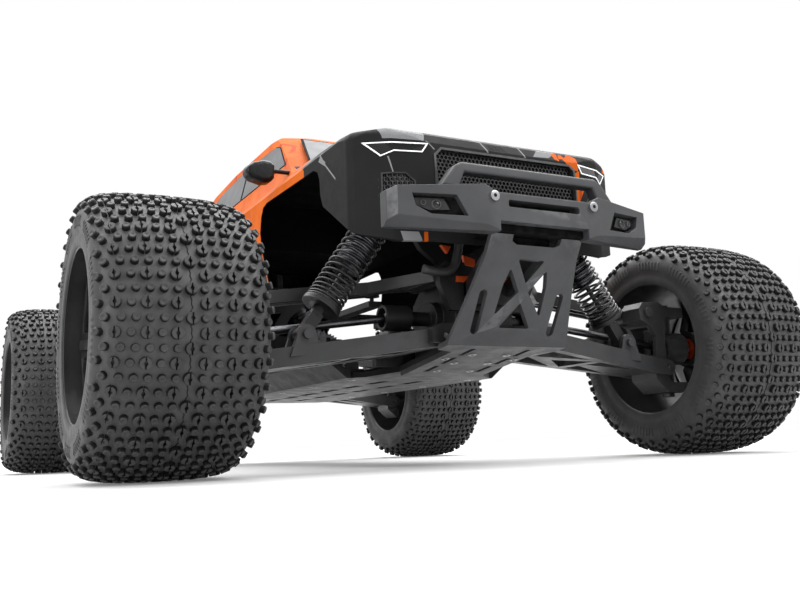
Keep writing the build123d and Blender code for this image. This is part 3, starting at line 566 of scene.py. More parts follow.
def tread_places():
    """Every pin and lug as (shape, u, turn)."""
    for pair in range(TREAD_ROWS):
        lug_turn = TURN * pair / TREAD_ROWS
        pin_turn = lug_turn + math.pi / TREAD_ROWS
        for k in range(1, COLUMNS + 1):
            for side in (1, -1):
                lug_u = side * k * LUG_COLUMN * (0.985 if k == COLUMNS else 1)
                yield ("lug" if k % 2 else "pin"), lug_u, lug_turn
                yield "pin", side * k * PIN_COLUMN, pin_turn
        yield "lug", 0.0, pin_turn


def add_tyres():
    shapes = {"pin": pin_shape(), "lug": lug_shape()}
    shoulder = 36         # lugs further out than this are a little smaller
    pieces = [carcass()]
    for shape, u, turn in tread_places():
        points, faces, indices = shapes[shape]
        centre, across, round_, outward = tread_frame(u, turn)
        scale = 0.92 if shape == "lug" and abs(u) > shoulder else 1.0
        flat = points[:, :1] * across + points[:, 1:2] * round_
        placed = centre + flat * scale + points[:, 2:] * outward
        pieces.append((placed, faces, indices))
    pieces += [sidewall_ribs(), seam_line()]
    all_faces, all_indices, count = [], [], 0
    for points, faces, indices in pieces:
        all_faces += [tuple(i + count for i in f) for f in faces]
        all_indices += indices
        count += len(points)
    at_each_wheel("spiked_tyre", np.concatenate([p[0] for p in pieces]), all_faces, TYRE_MATERIALS, all_indices,
                  "tyre", "tyre_rubber", 40)


# ---- body shell ----
SHELL_T = 1.6
SHELL_LOW = 142.5


def mirrored_planes(planes):
    """The planes, and the mirror image of each one that faces sideways."""
    return planes + [((-p[0], p[1], p[2]), (-n[0], n[1], n[2])) for p, n in planes if abs(n[0]) > 1e-6]


# Each plane is (point, outward normal).
LOWER_CORE = mirrored_planes([
    ((0, 0, SHELL_LOW), (0, 0, -1)),
    ((106.5, 0, 180), (1, 0, 0)),
    ((106.5, 0, 213.5), (0.72, 0, 0.69)),
    ((0, -262, 221.6), (0, -0.1, 1)),
    ((0, -276, 219.4), (0, -0.24, 0.97)),
    ((84, -250, 221.5), (0.17, -0.1, 1)),
    ((0, 0, 237), (0, 0, 1)),
    ((0, -287, 215.2), (0, -0.47, 0.88)),
    ((0, -293, 208.8), (0, -0.83, 0.55)),
    ((0, -295, 196), (0, -1, 0.09)),
    ((0, -296, 178), (0, -1, -0.05)),
    ((0, -293.5, 152), (0, -1, -0.17)),
    ((94, -280, 145.8), (0.35, -0.15, -1)),
    ((60, -294.5, 180), (0.3, -0.954, 0)),
    ((88, -284, 180), (0.56, -0.83, 0)),
    ((106.5, -268.5, 180), (0.9, -0.43, 0)),
    ((0, 286, 190), (0, 1, 0.04)),
    ((0, 284, 160), (0, 1, -0.15)),
    ((100, 284, 190), (0.7, 0.7, 0)),
])
WINDSCREEN_PLANE = ((0, -139, 237), (0, -0.6, 0.8))
BACK_WINDOW_PLANE = ((0, 160, 232), (0, 0.80, 0.6))
SIDE_WINDOW_PLANE = ((88.5, 0, 239), (1, 0, 0.26))
CAB_CORE = mirrored_planes([
    ((0, 0, 200), (0, 0, -1)),
    SIDE_WINDOW_PLANE,
    WINDSCREEN_PLANE,
    ((70, -134, 237), (0.25, -0.58, 0.8)),
    ((0, -19, 287.3), (0, -0.11, 1)),
    ((0, -19, 287.3), (0, 0.062, 1)),
    ((66, 0, 286), (0.3, 0, 1)),
    BACK_WINDOW_PLANE,
    ((84, 158, 232), (0.6, 0.7, 0.5)),
])


def rounded_planes(core, radius, turns, rises):
    """The planes, with more that round the solid's edges to about radius, at each turn and rise given."""
    inner = convex("core", core, [], radius)
    points = [v.co / MM for v in inner.data.vertices]
    bpy.data.objects.remove(inner)
    extra = []
    for k in range(turns):
        turn = TURN * (k + 0.5) / turns
        for rise in rises:
            n = Vector((math.sin(turn) * math.cos(rise), -math.cos(turn) * math.cos(rise), math.sin(rise)))
            far = max(points, key=lambda p: p.dot(n))
            extra.append((far + n * radius, n))
    return core + extra


LOWER_PLANES = rounded_planes(LOWER_CORE, 8.0, 28, (0, 0.3, 0.6, 0.9, 1.2))
CAB_PLANES = rounded_planes(CAB_CORE, 5.0, 20, (0.25, 0.55, 0.85, 1.15))
# Wheel arch as (y, z) at the front; the rear one is its mirror image.
ARCH = [(-275, 130), (-274, 148), (-229, 177), (-225, 186), (-224, 197), (-221, 203), (-214, 206.5), (-118, 208.5),
        (-109, 206.5), (-104, 200), (-101, 188), (-104, 174), (-126, 130)]
SKIRT = [(-104, -270), (-86, -283), (-58, -291), (58, -291), (86, -283), (104, -270), (104, 281), (-104, 281)]
# On the nose, as (x, z).
GRILLE = [(-57, 199.5), (-51.5, 205), (53, 205.4), (57.5, 201.5), (57.5, 180), (54, 165), (-54, 165), (-57, 180)]
FOG = [(89.5, 187), (75, 187), (69, 181.5), (69, 172), (89.5, 172)]
LAMP = [(99.5, 207.3), (60.5, 206.3), (64.5, 200.2), (82, 200.8), (89.5, 197.6)]
# Paint on the nose as (x, z), and on the flanks as (y, z).
NOSE_PALE = [[(-92, 224), (-88, 209.6), (-63, 208.2), (-56, 224)],
             [(23, 207.8), (30, 215), (46, 215), (37, 208.8)],
             [(-79.6, 148.6), (-68.4, 148.2), (-65.4, 141), (-77.4, 141)]]
NOSE_CRACKS = [[(-85.8, 197.6), (-84.9, 197.6), (-82.2, 186), (-82.9, 186)],
               [(-15, 206), (-13.8, 206), (-21, 224), (-22.4, 224)],
               [(15.4, 206), (16.6, 206), (10.4, 224), (9, 224)],
               [(-62, 208.6), (-61, 208.2), (-55.4, 203), (-56.4, 202.8)]]
NOSE_SLATS = [[(-12, 208), (-8, 208), (-10, 212.5), (-13.4, 212.5)],
              [(-6.8, 208), (-3.2, 208), (-5.6, 212.3), (-8.8, 212.3)],
              [(-2, 207.9), (1.4, 207.8), (-1, 212), (-4.2, 212.1)]]
NOSE_ORANGE = [[(-65.1, 148.2), (-62.3, 148.3), (-61.7, 141), (-64.6, 141)],
               [(55.5, 186.5), (66.7, 188.2), (60.5, 178.2), (58.4, 178.2)],
               [(54.5, 198), (62.5, 202), (61.5, 186), (56.5, 185)],
               [(45, 206.8), (41.5, 208.4), (40.4, 214.6), (45.6, 213.2)],
               [(53, 203.6), (49, 208.8), (56, 215), (62, 212), (61, 201)],
               [(45.6, 209.2), (52, 209.6), (49.6, 213.4), (46.6, 212.8)]]
FLANK_CRACKS = [[(-223.5, 217.5), (-222, 217), (-231.2, 207), (-232.6, 207.6)],
                [(-230.9, 208.4), (-229.9, 207.6), (-250.6, 189.4), (-250.9, 190.8)],
                [(-226, 212.5), (-223, 210), (-233.5, 204), (-235, 206.4)]]


def shell_paint():
    """Printed shell: dark grey nose with pale cracks and patches, orange cab sides in shards, grey tail."""
    orange_from_y, orange_to_y, ragged = -0.176, 0.175, 0.045
    m = Nodes("shell_paint")
    x, y, z = m.xyz()
    side = m.math("ABSOLUTE", x)
    chance, other, _ = m.node("SeparateColor", Color=m.voronoi(24, output="Color")).outputs
    shard = m.both(m.math("SUBTRACT", chance, 0.5), ragged)
    cab = m.both(m.above(m.math("ADD", y, shard), orange_from_y),
                 m.below(m.math("ADD", y, m.both(shard, 2.2)), orange_to_y),
                 m.either(m.above(side, 0.086), m.above(z, 0.2385)))
    hood = m.both(m.above(x, 0.022), m.below(y, -0.2), m.above(z, 0.2095), m.above(chance, 0.80))
    place = m.mix(0.012, m.place, m.noise(30, 2.0, 0.5, output="Color"), "VECTOR")
    edge = m.voronoi(17, "DISTANCE_TO_EDGE", place=place)
    line = m.both(m.below(edge, 0.011), m.above(m.noise(13, 1), 0.56))
    patch = m.both(m.above(other, 0.84), m.above(z, 0.2185))
    front = m.below(y, -0.255)
    flank = m.both(m.below(m.math("ABSOLUTE", m.math("ADD", y, 0.24)), 0.03), m.above(side, 0.1))
    pale, cracks, slats, ember = [m.both(m.polygons(outlines, x, z), front)
                                  for outlines in (NOSE_PALE, NOSE_CRACKS, NOSE_SLATS, NOSE_ORANGE)]
    grey = m.mix(patch, (0.0105, 0.0105, 0.0112), (0.13, 0.13, 0.135))
    grey = m.mix(m.both(m.ramp(m.noise(18, 4), 0.4, 0.7), 0.35), grey, (0.018, 0.0182, 0.019))
    flank_cracks = m.both(m.polygons(FLANK_CRACKS, y, z), flank)
    grey = m.mix(m.either(line, cracks, flank_cracks), grey, (0.17, 0.17, 0.175))
    grey = m.mix(pale, grey, (0.15, 0.153, 0.157))
    grey = m.mix(slats, grey, (0.001, 0.001, 0.001))
    flame = m.mix(m.ramp(m.noise(26, 3), 0.35, 0.65), (0.37, 0.064, 0.002), (0.46, 0.088, 0.003))
    stroke = m.both(m.below(edge, 0.03), m.above(m.noise(22, 1), 0.55), 0.75)
    flame = m.mix(stroke, flame, (0.27, 0.022, 0.003))
    m.set(Base_Color=m.mix(m.either(cab, hood, ember), grey, flame), Specular_IOR_Level=0.06,
          Roughness=m.ramp(m.noise(90, 4), 0.3, 0.7, 0.52, 0.62))
    m.bump((m.noise(700, 2), 0.00008, 0.3))
    return m.material


def window_material():
    """Smoky printed window with a faint diagonal sheen painted into its colour."""
    m = Nodes("smoked_window")
    painted_sheen = m.ramp(m.noise(9, 2, stretch=(1, 0.4, 2.0)), 0.35, 0.7)
    m.set(Base_Color=m.mix(painted_sheen, (0.085, 0.086, 0.09), (0.13, 0.132, 0.135)), Specular_IOR_Level=0.05,
          Roughness=m.ramp(m.noise(80, 4), 0.3, 0.7, 0.36, 0.46))
    m.bump((m.noise(400, 2), 0.00004, 0.3))
    return m.material


def outline_white():
    m = Nodes("lamp_outline_white_painted_glow")
    tone = m.mix(m.ramp(m.noise(300, 3), 0.3, 0.7), (0.82, 0.83, 0.85), (0.95, 0.95, 0.96))
    # The faint emission is a painted glow: the outline is no lamp.
    m.set(Base_Color=tone, Roughness=0.4, Emission_Color=(0.9, 0.93, 1.0, 1.0), Emission_Strength=0.12)
    m.bump((m.noise(900, 2), 0.00005, 0.3))
    return m.material


def lens_black():
    m = Nodes("lamp_lens_black")
    m.set(Base_Color=m.mix(m.noise(120, 3), (0.001, 0.001, 0.0014), (0.003, 0.003, 0.004)), Roughness=0.16,
          Coat_Weight=0.3, Specular_IOR_Level=0.3)
    m.bump((m.voronoi(900), 0.00012, 0.35))
    return m.material


SHELL = shell_paint()
WINDOW = window_material()
GLOWING_OUTLINE = outline_white()
LENS = lens_black()


def place_on_shell(name, parts, angle=30):
    place(joined(name, parts), "shell", (), "shell_paint", angle)


def nose_y(x, z):
    """The nose's surface at (x, z), from the shell's own planes."""
    best = -math.inf
    for point, normal in LOWER_PLANES:
        if normal[1] < -0.3:
            n, p = Vector(normal), Vector(point)
            best = max(best, p.y - (n.x * (x - p.x) + n.z * (z - p.z)) / n.y)
    return best


def on_nose(points, out):
    return [(x, nose_y(x, z) + out, z) for x, z in points]


PANEL_STEP = 4.0          # longest side of a panel's outline, so that it follows the nose


def divided(outline):
    result = []
    for (x, z), (x1, z1) in zip(outline, outline[1:] + outline[:1]):
        pieces = max(1, math.ceil(math.hypot(x1 - x, z1 - z) / PANEL_STEP))
        result += [(x + (x1 - x) * k / pieces, z + (z1 - z) * k / pieces) for k in range(pieces)]
    return result


def nose_panel(name, outline, lift, depth, material):
    """Panel laid on the nose, standing lift proud and depth thick."""
    outline = divided(outline)
    return solid(name, [on_nose(outline, -lift), on_nose(outline, depth - lift)], material)


def frame_strip(name, outline, width, lift, depth, material):
    """Closed strip along an outline on the nose, width wide towards the inside."""
    centre = middle(outline)
    corners = [Vector(p) for p in outline]
    inner = []
    for before, here, after in zip(corners[-1:] + corners[:-1], corners, corners[1:] + corners[:1]):
        a, b = (here - before).normalized(), (after - here).normalized()
        na, nb = Vector((-a.y, a.x)), Vector((-b.y, b.x))
        if na.dot(centre - here) < 0 and nb.dot(centre - here) < 0:
            na, nb = -na, -nb
        mitre = (na + nb).normalized()
        inner.append(here + mitre * width / max(0.35, mitre.dot(na)))
    outer_points, inner_points = [], []
    for k, here in enumerate(corners):
        j = (k + 1) % len(corners)
        pieces = max(1, math.ceil((corners[j] - here).length / PANEL_STEP))
        for i in range(pieces):
            outer_points.append(here.lerp(corners[j], i / pieces))
            inner_points.append(inner[k].lerp(inner[j], i / pieces))
    rings = [on_nose(outer_points, -lift), on_nose(inner_points, -lift), on_nose(inner_points, depth - lift),
             on_nose(outer_points, depth - lift)]
    return solid(name, rings, material, capped=False)


def inside(x, z, outline):
    hit = False
    for (x0, z0), (x1, z1) in zip(outline, outline[1:] + outline[:1]):
        if (z0 > z) != (z1 > z) and x < (x1 - x0) * (z - z0) / (z1 - z0) + x0:
            hit = not hit
    return hit


def hex_mesh(name, outline, cell, rib, depth, material):
    """Raised honeycomb ribs inside an outline, depth behind the nose's surface."""
    verts, faces = [], []
    xs, zs = zip(*outline)
    step_x, step_z = cell * math.sqrt(3), cell * 1.5
    corners = [(math.sin(TURN / 6 * k), math.cos(TURN / 6 * k)) for k in range(6)]
    for row in range(int((max(zs) - min(zs)) / step_z) + 3):
        for column in range(int((max(xs) - min(xs)) / step_x) + 3):
            cx = min(xs) + (column + 0.5 * (row % 2)) * step_x
            cz = min(zs) + row * step_z
            if not inside(cx, cz, outline):
                continue
            base = len(verts)
            for radius, back in ((cell, 0.0), (cell - rib, 0.0), (cell - rib * 1.6, 1.4)):
                verts += [(x * MM, y * MM, z * MM) for x, y, z in (
                    (cx + radius * sx, nose_y(cx, cz) + depth + back, cz + radius * sz) for sx, sz in corners)]
            faces += quads(3, 6, base, flip=True) + [tuple(range(base + 12, base + 18))]
    return from_points(name, verts, faces, material)


def add_nose():
    """Grille, side recesses and headlamps."""
    parts = []
    recesses = ((GRILLE, 2.4, 0.42, PLASTIC), *((outline, 0.9, 0.7, BUMPER) for outline in with_mirror(FOG)))
    for outline, depth, rib, material in recesses:
        # Near-black recess floors behind the honeycomb: painted shade.
        parts.append(nose_panel("recess_floor", outline, -depth - 2.2, 1.2, BLACK_AND_PAINTED_SHADE))
        parts.append(hex_mesh("recess_mesh", outline, 1.75, rib, depth, material))
    parts.append(frame_strip("grille_frame", GRILLE, 1.6, 0.6, 5.0, PLASTIC))
    for outline in with_mirror(FOG):
        parts.append(frame_strip("recess_frame", outline, 0.9, 0.25, 4.6, PLASTIC))
    place_on_shell("nose_grille_and_recesses", parts)
    lamps = []
    for outline in with_mirror(LAMP):
        lamps.append(nose_panel("lens", outline, 0.3, 0.9, LENS))
        lamps.append(frame_strip("lamp_edge", outline, 0.7, 0.75, 1.2, GLOWING_OUTLINE))
    place_on_shell("headlamps", lamps)


def add_shell():
    """Painted shell, hollowed from below; what cuts it is near-black, and so are the faces that the cuts leave:
    painted shade on the shell's inside, the arch and opening edges and the grooves.
    """
    outer = bevelled(convex("outer", LOWER_PLANES, [SHELL, BLACK_AND_PAINTED_SHADE]), 5.0, 3, 22)
    combined(outer, bevelled(convex("cab", CAB_PLANES, [SHELL, BLACK_AND_PAINTED_SHADE]), 4.0, 3, 18), "UNION")
    hollow = convex("hollow", LOWER_PLANES, BLACK_AND_PAINTED_SHADE, SHELL_T)
    combined(hollow, convex("cab_hollow", CAB_PLANES, BLACK_AND_PAINTED_SHADE, SHELL_T), "UNION")
    combined(hollow, prism("skirt", SKIRT, "z", 130, 150, BLACK_AND_PAINTED_SHADE), "UNION")
    combined(outer, hollow)
    for sign in (1, -1):
        combined(outer, prism("arch", sided(ARCH, sign), "x", -130, 130, BLACK_AND_PAINTED_SHADE))
    for outline in (GRILLE, *with_mirror(FOG)):
        combined(outer, prism("opening", outline, "y", -310, -255, BLACK_AND_PAINTED_SHADE))
    for sign in (-1, 1):
        groove = sided([(105.2, -275.4), (108, -277.5), (108, -273.5)], sign)
        combined(outer, prism("groove", groove, "z", 140, 207, BLACK_AND_PAINTED_SHADE))
    outer.name = outer.data.name = "painted_shell"
    place(outer, "shell", "body_shell", "shell_paint", 28)


TAIL_Y = 283              # just inside the flat tail
TAIL_LAMP = [(99, 205), (74, 206), (70, 199), (78, 187), (97, 184)]
TAILGATE = [(-62, 207), (62, 207), (66, 201), (62, 168), (-62, 168), (-66, 201)]


def tail_strip(outline, width, material):
    """Raised strips along an outline on the flat tail."""
    centre = middle(outline)
    inner = [Vector(p) - (Vector(p) - centre).normalized() * width for p in outline]
    return [prism("side", [outline[i - 1], outline[i], inner[i], inner[i - 1]], "y", TAIL_Y, 286.9, material)
            for i in range(len(outline))]


def add_tail():
    """Tail lamps and a plain tailgate outline."""
    parts = tail_strip(TAILGATE, 1.6, PLASTIC)
    for outline in with_mirror(TAIL_LAMP):
        parts.append(prism("tail_lens", outline, "y", TAIL_Y, 286.3, LENS))
        parts += tail_strip(outline, 1.2, GLOWING_OUTLINE)
    place_on_shell("tail_lamps_and_line", parts)


def slanted_panel(name, outline, plane, lift, thick, material, axis):
    """Panel on one of the cab's planes. The outline leaves out the coordinate named by axis."""
    point, normal = Vector(plane[0]), Vector(plane[1]).normalized()
    rings = []
    for out in (lift, lift - thick):
        levels = [normal.dot(point - on_axis(p, axis, 0)) / normal["xyz".index(axis)] for p in outline]
        rings.append([on_axis(p, axis, level) + normal * out for p, level in zip(outline, levels)])
    return solid(name, rings, material)


FRONT_SIDE_WINDOW = [(-108, 245), (-82, 268), (-70, 272), (-6, 276), (4, 274), (4, 245)]
REAR_SIDE_WINDOW = [(9, 245), (9, 274), (18, 276), (92, 272), (103, 266), (122, 245)]
WINDSCREEN = [(-74, 243), (-62, 276), (62, 276), (74, 243)]
BACK_WINDOW = [(-72, 241), (-62, 272), (62, 272), (72, 241)]
PANE_Z = 259              # middle of the windscreen and the back window


def add_windows():
    panes, rims = [], []

    def add_window(outline, grown, plane, axis):
        rims.append(slanted_panel("rim", grown, plane, 0.25, 0.5, BLACK_AND_PAINTED_SHADE, axis))
        panes.append(slanted_panel("pane", outline, plane, 0.45, 0.4, WINDOW, axis))

    (x, y, z), (nx, ny, nz) = SIDE_WINDOW_PLANE
    for sign in (-1, 1):
        for outline in (FRONT_SIDE_WINDOW, REAR_SIDE_WINDOW):
            centre = middle(outline)
            grown = [centre + (Vector(p) - centre) * 1.045 for p in outline]
            add_window(outline, grown, ((sign * x, y, z), (sign * nx, ny, nz)), "x")
    for outline, plane in ((WINDSCREEN, WINDSCREEN_PLANE), (BACK_WINDOW, BACK_WINDOW_PLANE)):
        add_window(outline, [(x * 1.03, PANE_Z + (z - PANE_Z) * 1.08) for x, z in outline], plane, "y")
    place_on_shell("shell_windows", panes + rims)


MIRROR = [(128, 228.5), (126, 233.5), (121, 237.3), (113.5, 239.6), (105.5, 239.4), (103.5, 236), (104, 226),
          (107, 222), (114, 221.3), (123, 223.8)]
MIRROR_MIDDLE = Vector((114, 230))


def add_mirrors():
    glass = [MIRROR_MIDDLE + (Vector(p) - MIRROR_MIDDLE) * 0.8 for p in MIRROR]
    for sign, side in ((1, "left"), (-1, "right")):
        place_on_shell(f"{side}_mirror", [
            bevelled(prism("head", sided(MIRROR, sign), "y", -131, -117, MIRROR_SHELL), 3.5, 4, 40),
            prism("stem", sided(box(88, 231.5, 106, 234.5), sign), "y", -126, -122, MIRROR_SHELL, 1.0, 3),
            prism("glass", sided(glass, sign), "y", -117.3, -116.6, LENS, 0.2, 1)], 40)


# ---- wheels, about their own centre, with the outer face towards +X ----
SPOKES = 6
RIM_BARREL = [(45.4, 50.6), (46.0, 51.2), (46.0, 57.2), (45.2, 58.0), (43.4, 58.0), (42.7, 57.2), (42.6, 53.7),
              (30, 53.4), (12, 52.4), (-12, 52.4), (-30, 53.4), (-42.6, 53.7), (-42.7, 57.2), (-43.4, 58.0),
              (-45.2, 58.0), (-46.0, 57.2), (-46.0, 52.2), (-45.2, 51.4), (-30, 50.4), (-12, 49.6), (10, 49.6),
              (32, 49.9), (38, 50.0), (41.5, 50.6)]
RIM_DISH = [(12, 13), (13.5, 20), (22, 34), (31, 50.8), (35.5, 50.8), (27, 34), (18.5, 20), (17, 13)]
RIM_HUB = [(-4, 10.2), (-4, 13.6), (-3.2, 14.4), (16.5, 14.4), (18.2, 12.8), (18.2, 11.2), (11, 11.0), (11, 4.2),
           (3, 4.2), (3, 10.2)]
SPOKE_WINDOW = [(-4.2, 19.5), (4.2, 19.5), (17.2, 45.5), (10, 48.0), (-10, 48.0), (-17.2, 45.5)]
SPOKE_RIB = [(3, 13), (3, 20), (14, 34), (23, 50.4), (31.5, 50.4), (24.5, 34), (16, 20), (13, 13)]
SPOKE_PAD = [(29, 49), (31.5, 50.3), (36.5, 50.3), (33.5, 44), (29.5, 36), (28.4, 38)]
HEX_BORE = [(-20, 0.01), (-20, 4.0), (-11.2, 4.0), (-11.2, 0.01)]
HEX_FLANGE = [(-12.6, 4.2), (-12.6, 7.2), (-12.0, 7.6), (-11.6, 7.6), (-11.6, 4.2)]
AXLE = [(-19.8, 0.3), (-19.8, 3.4), (-19.2, 4.0), (21.2, 4.0), (22, 3.2), (22, 0.3)]
WASHER = [(11.1, 4.1), (11.1, 10.0), (12.6, 10.0), (13.2, 9.2), (13.2, 4.1)]
HEX_FLATS = 17


def hexagon(name, low, high, material):
    outline = circle(Vector((1, 0)), Vector((0, 1)), HEX_FLATS / math.sqrt(3), 6)
    return prism(name, outline, "x", low, high, material, 0.6)


def about_axle(obj, share):
    """Turns an object's mesh about the X axis by that many spokes."""
    obj.data.transform(Matrix.Rotation(TURN / SPOKES * share, 4, "X"))
    return obj


def wheel_parts():
    dish = revolved("dish", RIM_DISH, WHEEL)
    for k in range(SPOKES):
        combined(dish, about_axle(prism("window", SPOKE_WINDOW, "x", 0, 60, WHEEL, 2.0, 3), k))
    bevelled(dish, 0.7, 2)
    ribs = []
    for k in range(SPOKES):
        ribs.append(about_axle(prism("rib", SPOKE_RIB, "y", -1.6, 1.6, WHEEL, 0.4), k + 0.5))
        ribs.append(about_axle(prism("pad", SPOKE_PAD, "y", -3.4, 3.4, WHEEL, 0.6), k + 0.5))
    drive = combined(hexagon("drive", -12, 2.9, ORANGE), revolved("drive_bore", HEX_BORE, ORANGE, 24))
    for k in range(6):
        combined(drive, about_axle(prism("notch", box(-1.6, 6.4, 1.6, 12), "x", -14, -6, ORANGE), k))
    return [revolved("barrel", RIM_BARREL, WHEEL), dish, revolved("hub", RIM_HUB, WHEEL, 48), drive,
            revolved("flange", HEX_FLANGE, ORANGE, 40), revolved("axle", AXLE, STEEL, 32),
            hexagon("nut", 12.4, 18.6, DARK_STEEL), revolved("washer", WASHER, DARK_STEEL, 40)] + ribs


def add_wheels():
    master = joined("wheel_master", wheel_parts())
    mesh = master.data
    points = np.array([v.co for v in mesh.vertices]) / MM
    faces = [tuple(p.vertices) for p in mesh.polygons]
    indices = [p.material_index for p in mesh.polygons]
    bpy.data.objects.remove(master)
    at_each_wheel("spoked_wheel", points, faces, list(mesh.materials), indices, "wheel", "wheel_plastic", 32)


# ---- front bumper; outlines are (x, z) ----
WING_INNER, WING_OUTER = (43.0, -333.0), (94.0, -318.5)       # the wing's front face, as (x, y)
WING_NORMAL = Vector((WING_OUTER[1] - WING_INNER[1], WING_INNER[0] - WING_OUTER[0], 0)).normalized()
POCKET = [(88, 164), (61.5, 163.3), (55, 150.5), (77, 151.5), (86, 156.5)]
LAMP_PLATE = [(87.5, 162.2), (68.5, 161.7), (65, 154.7), (77.5, 154.3), (86.5, 158)]
LAMPS = ((81, 158.9, 1.4), (73.2, 157.9, 2.6))                # (x, z, radius)
HOOP = [(-68, 171), (-57.5, 184.5), (-52.5, 187.4), (52.5, 187.4), (57.5, 184.5), (68, 171),
        (54.5, 171), (50.5, 180.9), (-50.5, 180.9), (-54.5, 171)]
# Name, outline, from y, to y, material, bevel, segments.
BUMPER_BLOCKS = [
    # slot_back is a near-black sheet behind the slot: painted shade.
    ("slot_back", box(-30, 155, 30, 164), -323, -321, BLACK_AND_PAINTED_SHADE, 0.3, 1),
    ("hoop", HOOP, -320.7, -312, BUMPER, 1.5, 3),
    ("hoop_root", box(-60, 168.5, 60, 171.6), -318.5, -313.5, BUMPER, 0.6, 2),
    ("mount", box(-36, 143.6, 36, 148.4), -327, -302, BLACK_AND_PAINTED_SHADE, 0.8, 2),
    ("lower_mount", box(-16, 138, 16, 144), -314.5, -302, BLACK_AND_PAINTED_SHADE, 0.8, 2),
    ("foot", box(-20, 108, 20, 124), -268, -264.2, PLASTIC, 0.5, 2),
]
BUMPER_LEG = [(-304, 141), (-304, 134), (-264.3, 112), (-264.3, 122), (-290, 139)]      # (y, z)


def wing_normal(s):
    return Vector((WING_NORMAL.x * s, WING_NORMAL.y, 0))


def on_wing(x, z, s, depth):
    """Point at depth behind the wing's front face at x, on the left (s = 1) or the right (s = -1)."""
    share = (x - WING_INNER[0]) / (WING_OUTER[0] - WING_INNER[0])
    y = WING_INNER[1] + share * (WING_OUTER[1] - WING_INNER[1])
    return Vector((x * s, y, z)) - wing_normal(s) * depth


def wing_prism(name, outline, s, front, back, material, bevel=0.0):
    """Outline carried between two depths behind the wing's face, square to that face."""
    return solid(name, [[on_wing(x, z, s, depth) for x, z in outline] for depth in (front, back)], material,
                 bevel=bevel)


def socket_screw(centre, axis, radius):
    """Flat-headed screw with a hexagon socket, seen from the end that axis points to."""
    top = 0.5
    head = [(-0.6, radius * 0.8), (0, radius), (top * 0.7, radius), (top, radius * 0.86), (top, radius * 0.42)]
    socket = [(top + 0.02, radius * 0.42), (top - 0.55, radius * 0.36)]
    # The socket is near-black: painted shade inside it.
    return [turned("head", head, centre, axis, STEEL), turned("socket", socket, centre, axis, BLACK_AND_PAINTED_SHADE, 6)]


def wing(s):
    planes = [
        ((WING_INNER[0], WING_INNER[1], 0), wing_normal(1)),
        ((43, 0, 170.8), (0.04, 0, 1)),
        ((0, -333, 0), (0, -1, 0)),
        ((43, 0, 142.3), (0.045, 0, -1)),
        ((43, -333, 145.4), (0.246, -0.59, -0.769)),
        ((96.5, -317.8, 0), (0.762, -0.648, 0)),
        ((101.4, 0, 0), (1, 0, 0)),
        ((97, 0, 168.6), (0.45, 0, 1)),
        ((43, -320.5, 0), -wing_normal(1)),
        ((34, 0, 0), (-1, 0, 0)),
        ((43.5, 0, 170.6), (-0.48, 0, 0.88)),
    ]
    body = convex("wing", [((s * x, y, z), (s * nx, ny, nz)) for (x, y, z), (nx, ny, nz) in planes], BUMPER)
    return bevelled(combined(body, wing_prism("pocket", POCKET, s, -3, 5.5, BUMPER)), 0.8, 3)


def add_bumper():
    parts = []
    for s in (1, -1):
        # The pocket floor is near-black: painted shade inside the lamp pocket.
        parts += [wing(s), wing_prism("lamp_plate", LAMP_PLATE, s, 3.4, 6, PLASTIC, 0.4),
                  wing_prism("pocket_floor", POCKET, s, 5.3, 6.2, BLACK_AND_PAINTED_SHADE)]
        for x, z, r in LAMPS:
            at = on_wing(x, z, s, 3.5)
            bezel = [(0, r + 0.5), (0.9, r + 0.4), (1.2, r + 0.1), (1.0, r - 0.2), (0.2, r - 0.6)]
            parts.append(turned("bezel", bezel, at, wing_normal(s), BUMPER))
            parts.append(turned("glass", [(0.2, r - 0.2), (0.7, r * 0.6), (0.85, 0.001)], at, wing_normal(s), LENS))
        parts += socket_screw((s * 38.3, -334.22, 163.5), (0, -1, 0), 3.2)
        parts.append(prism("leg", BUMPER_LEG, "x", s * 12, s * 20, PLASTIC, 0.6))
    beam = prism("beam", box(-36, 148.5, 36, 166), "y", -332.9, -319.5, BUMPER)
    combined(beam, prism("slot", box(-27.4, 157.8, 27.4, 162.2), "y", -340, -310, BUMPER, 1.2, 3))
    parts.append(bevelled(beam, 0.8, 3))
    for name, outline, low, high, material, bevel, segments in BUMPER_BLOCKS:
        parts.append(prism(name, outline, "y", low, high, material, bevel, segments))
    place(joined("bumper_with_hoop", parts), "chassis", "front_bumper", "moulded_plastic", 30)


# ---- front details ----
BRACE_PATH = [(-20, -303, 152), (-22, -280, 155), (-23.5, -268, 153), (-24.5, -266, 141), (-28, -266, 131),
              (-38, -265, 128.5), (-50, -263, 131)]
BRACE_RADIUS = 3.1
BRACE_FINS = ([(10, 134), (17.8, 135), (19.2, 142.3), (9.3, 139.6)], [(28, 147.6), (36.3, 148.1), (31.4, 142.1)])
SCREW_RADIUS = 2.9
SKID_SCREWS = ((14, -262), (14, -238), (28, -250), (14, -214))
SKID_SLOPE = 14.4 / 104.0
SKID_START_Y, SKID_START_Z = 176, 62.35       # where the skid plate's slope begins, and a screw's height there
PLATE_SCREW_X, PLATE_SCREW_Z = 52, 66.0
PLATE_SCREW_YS = (-150, -75, 0, 75, 150)


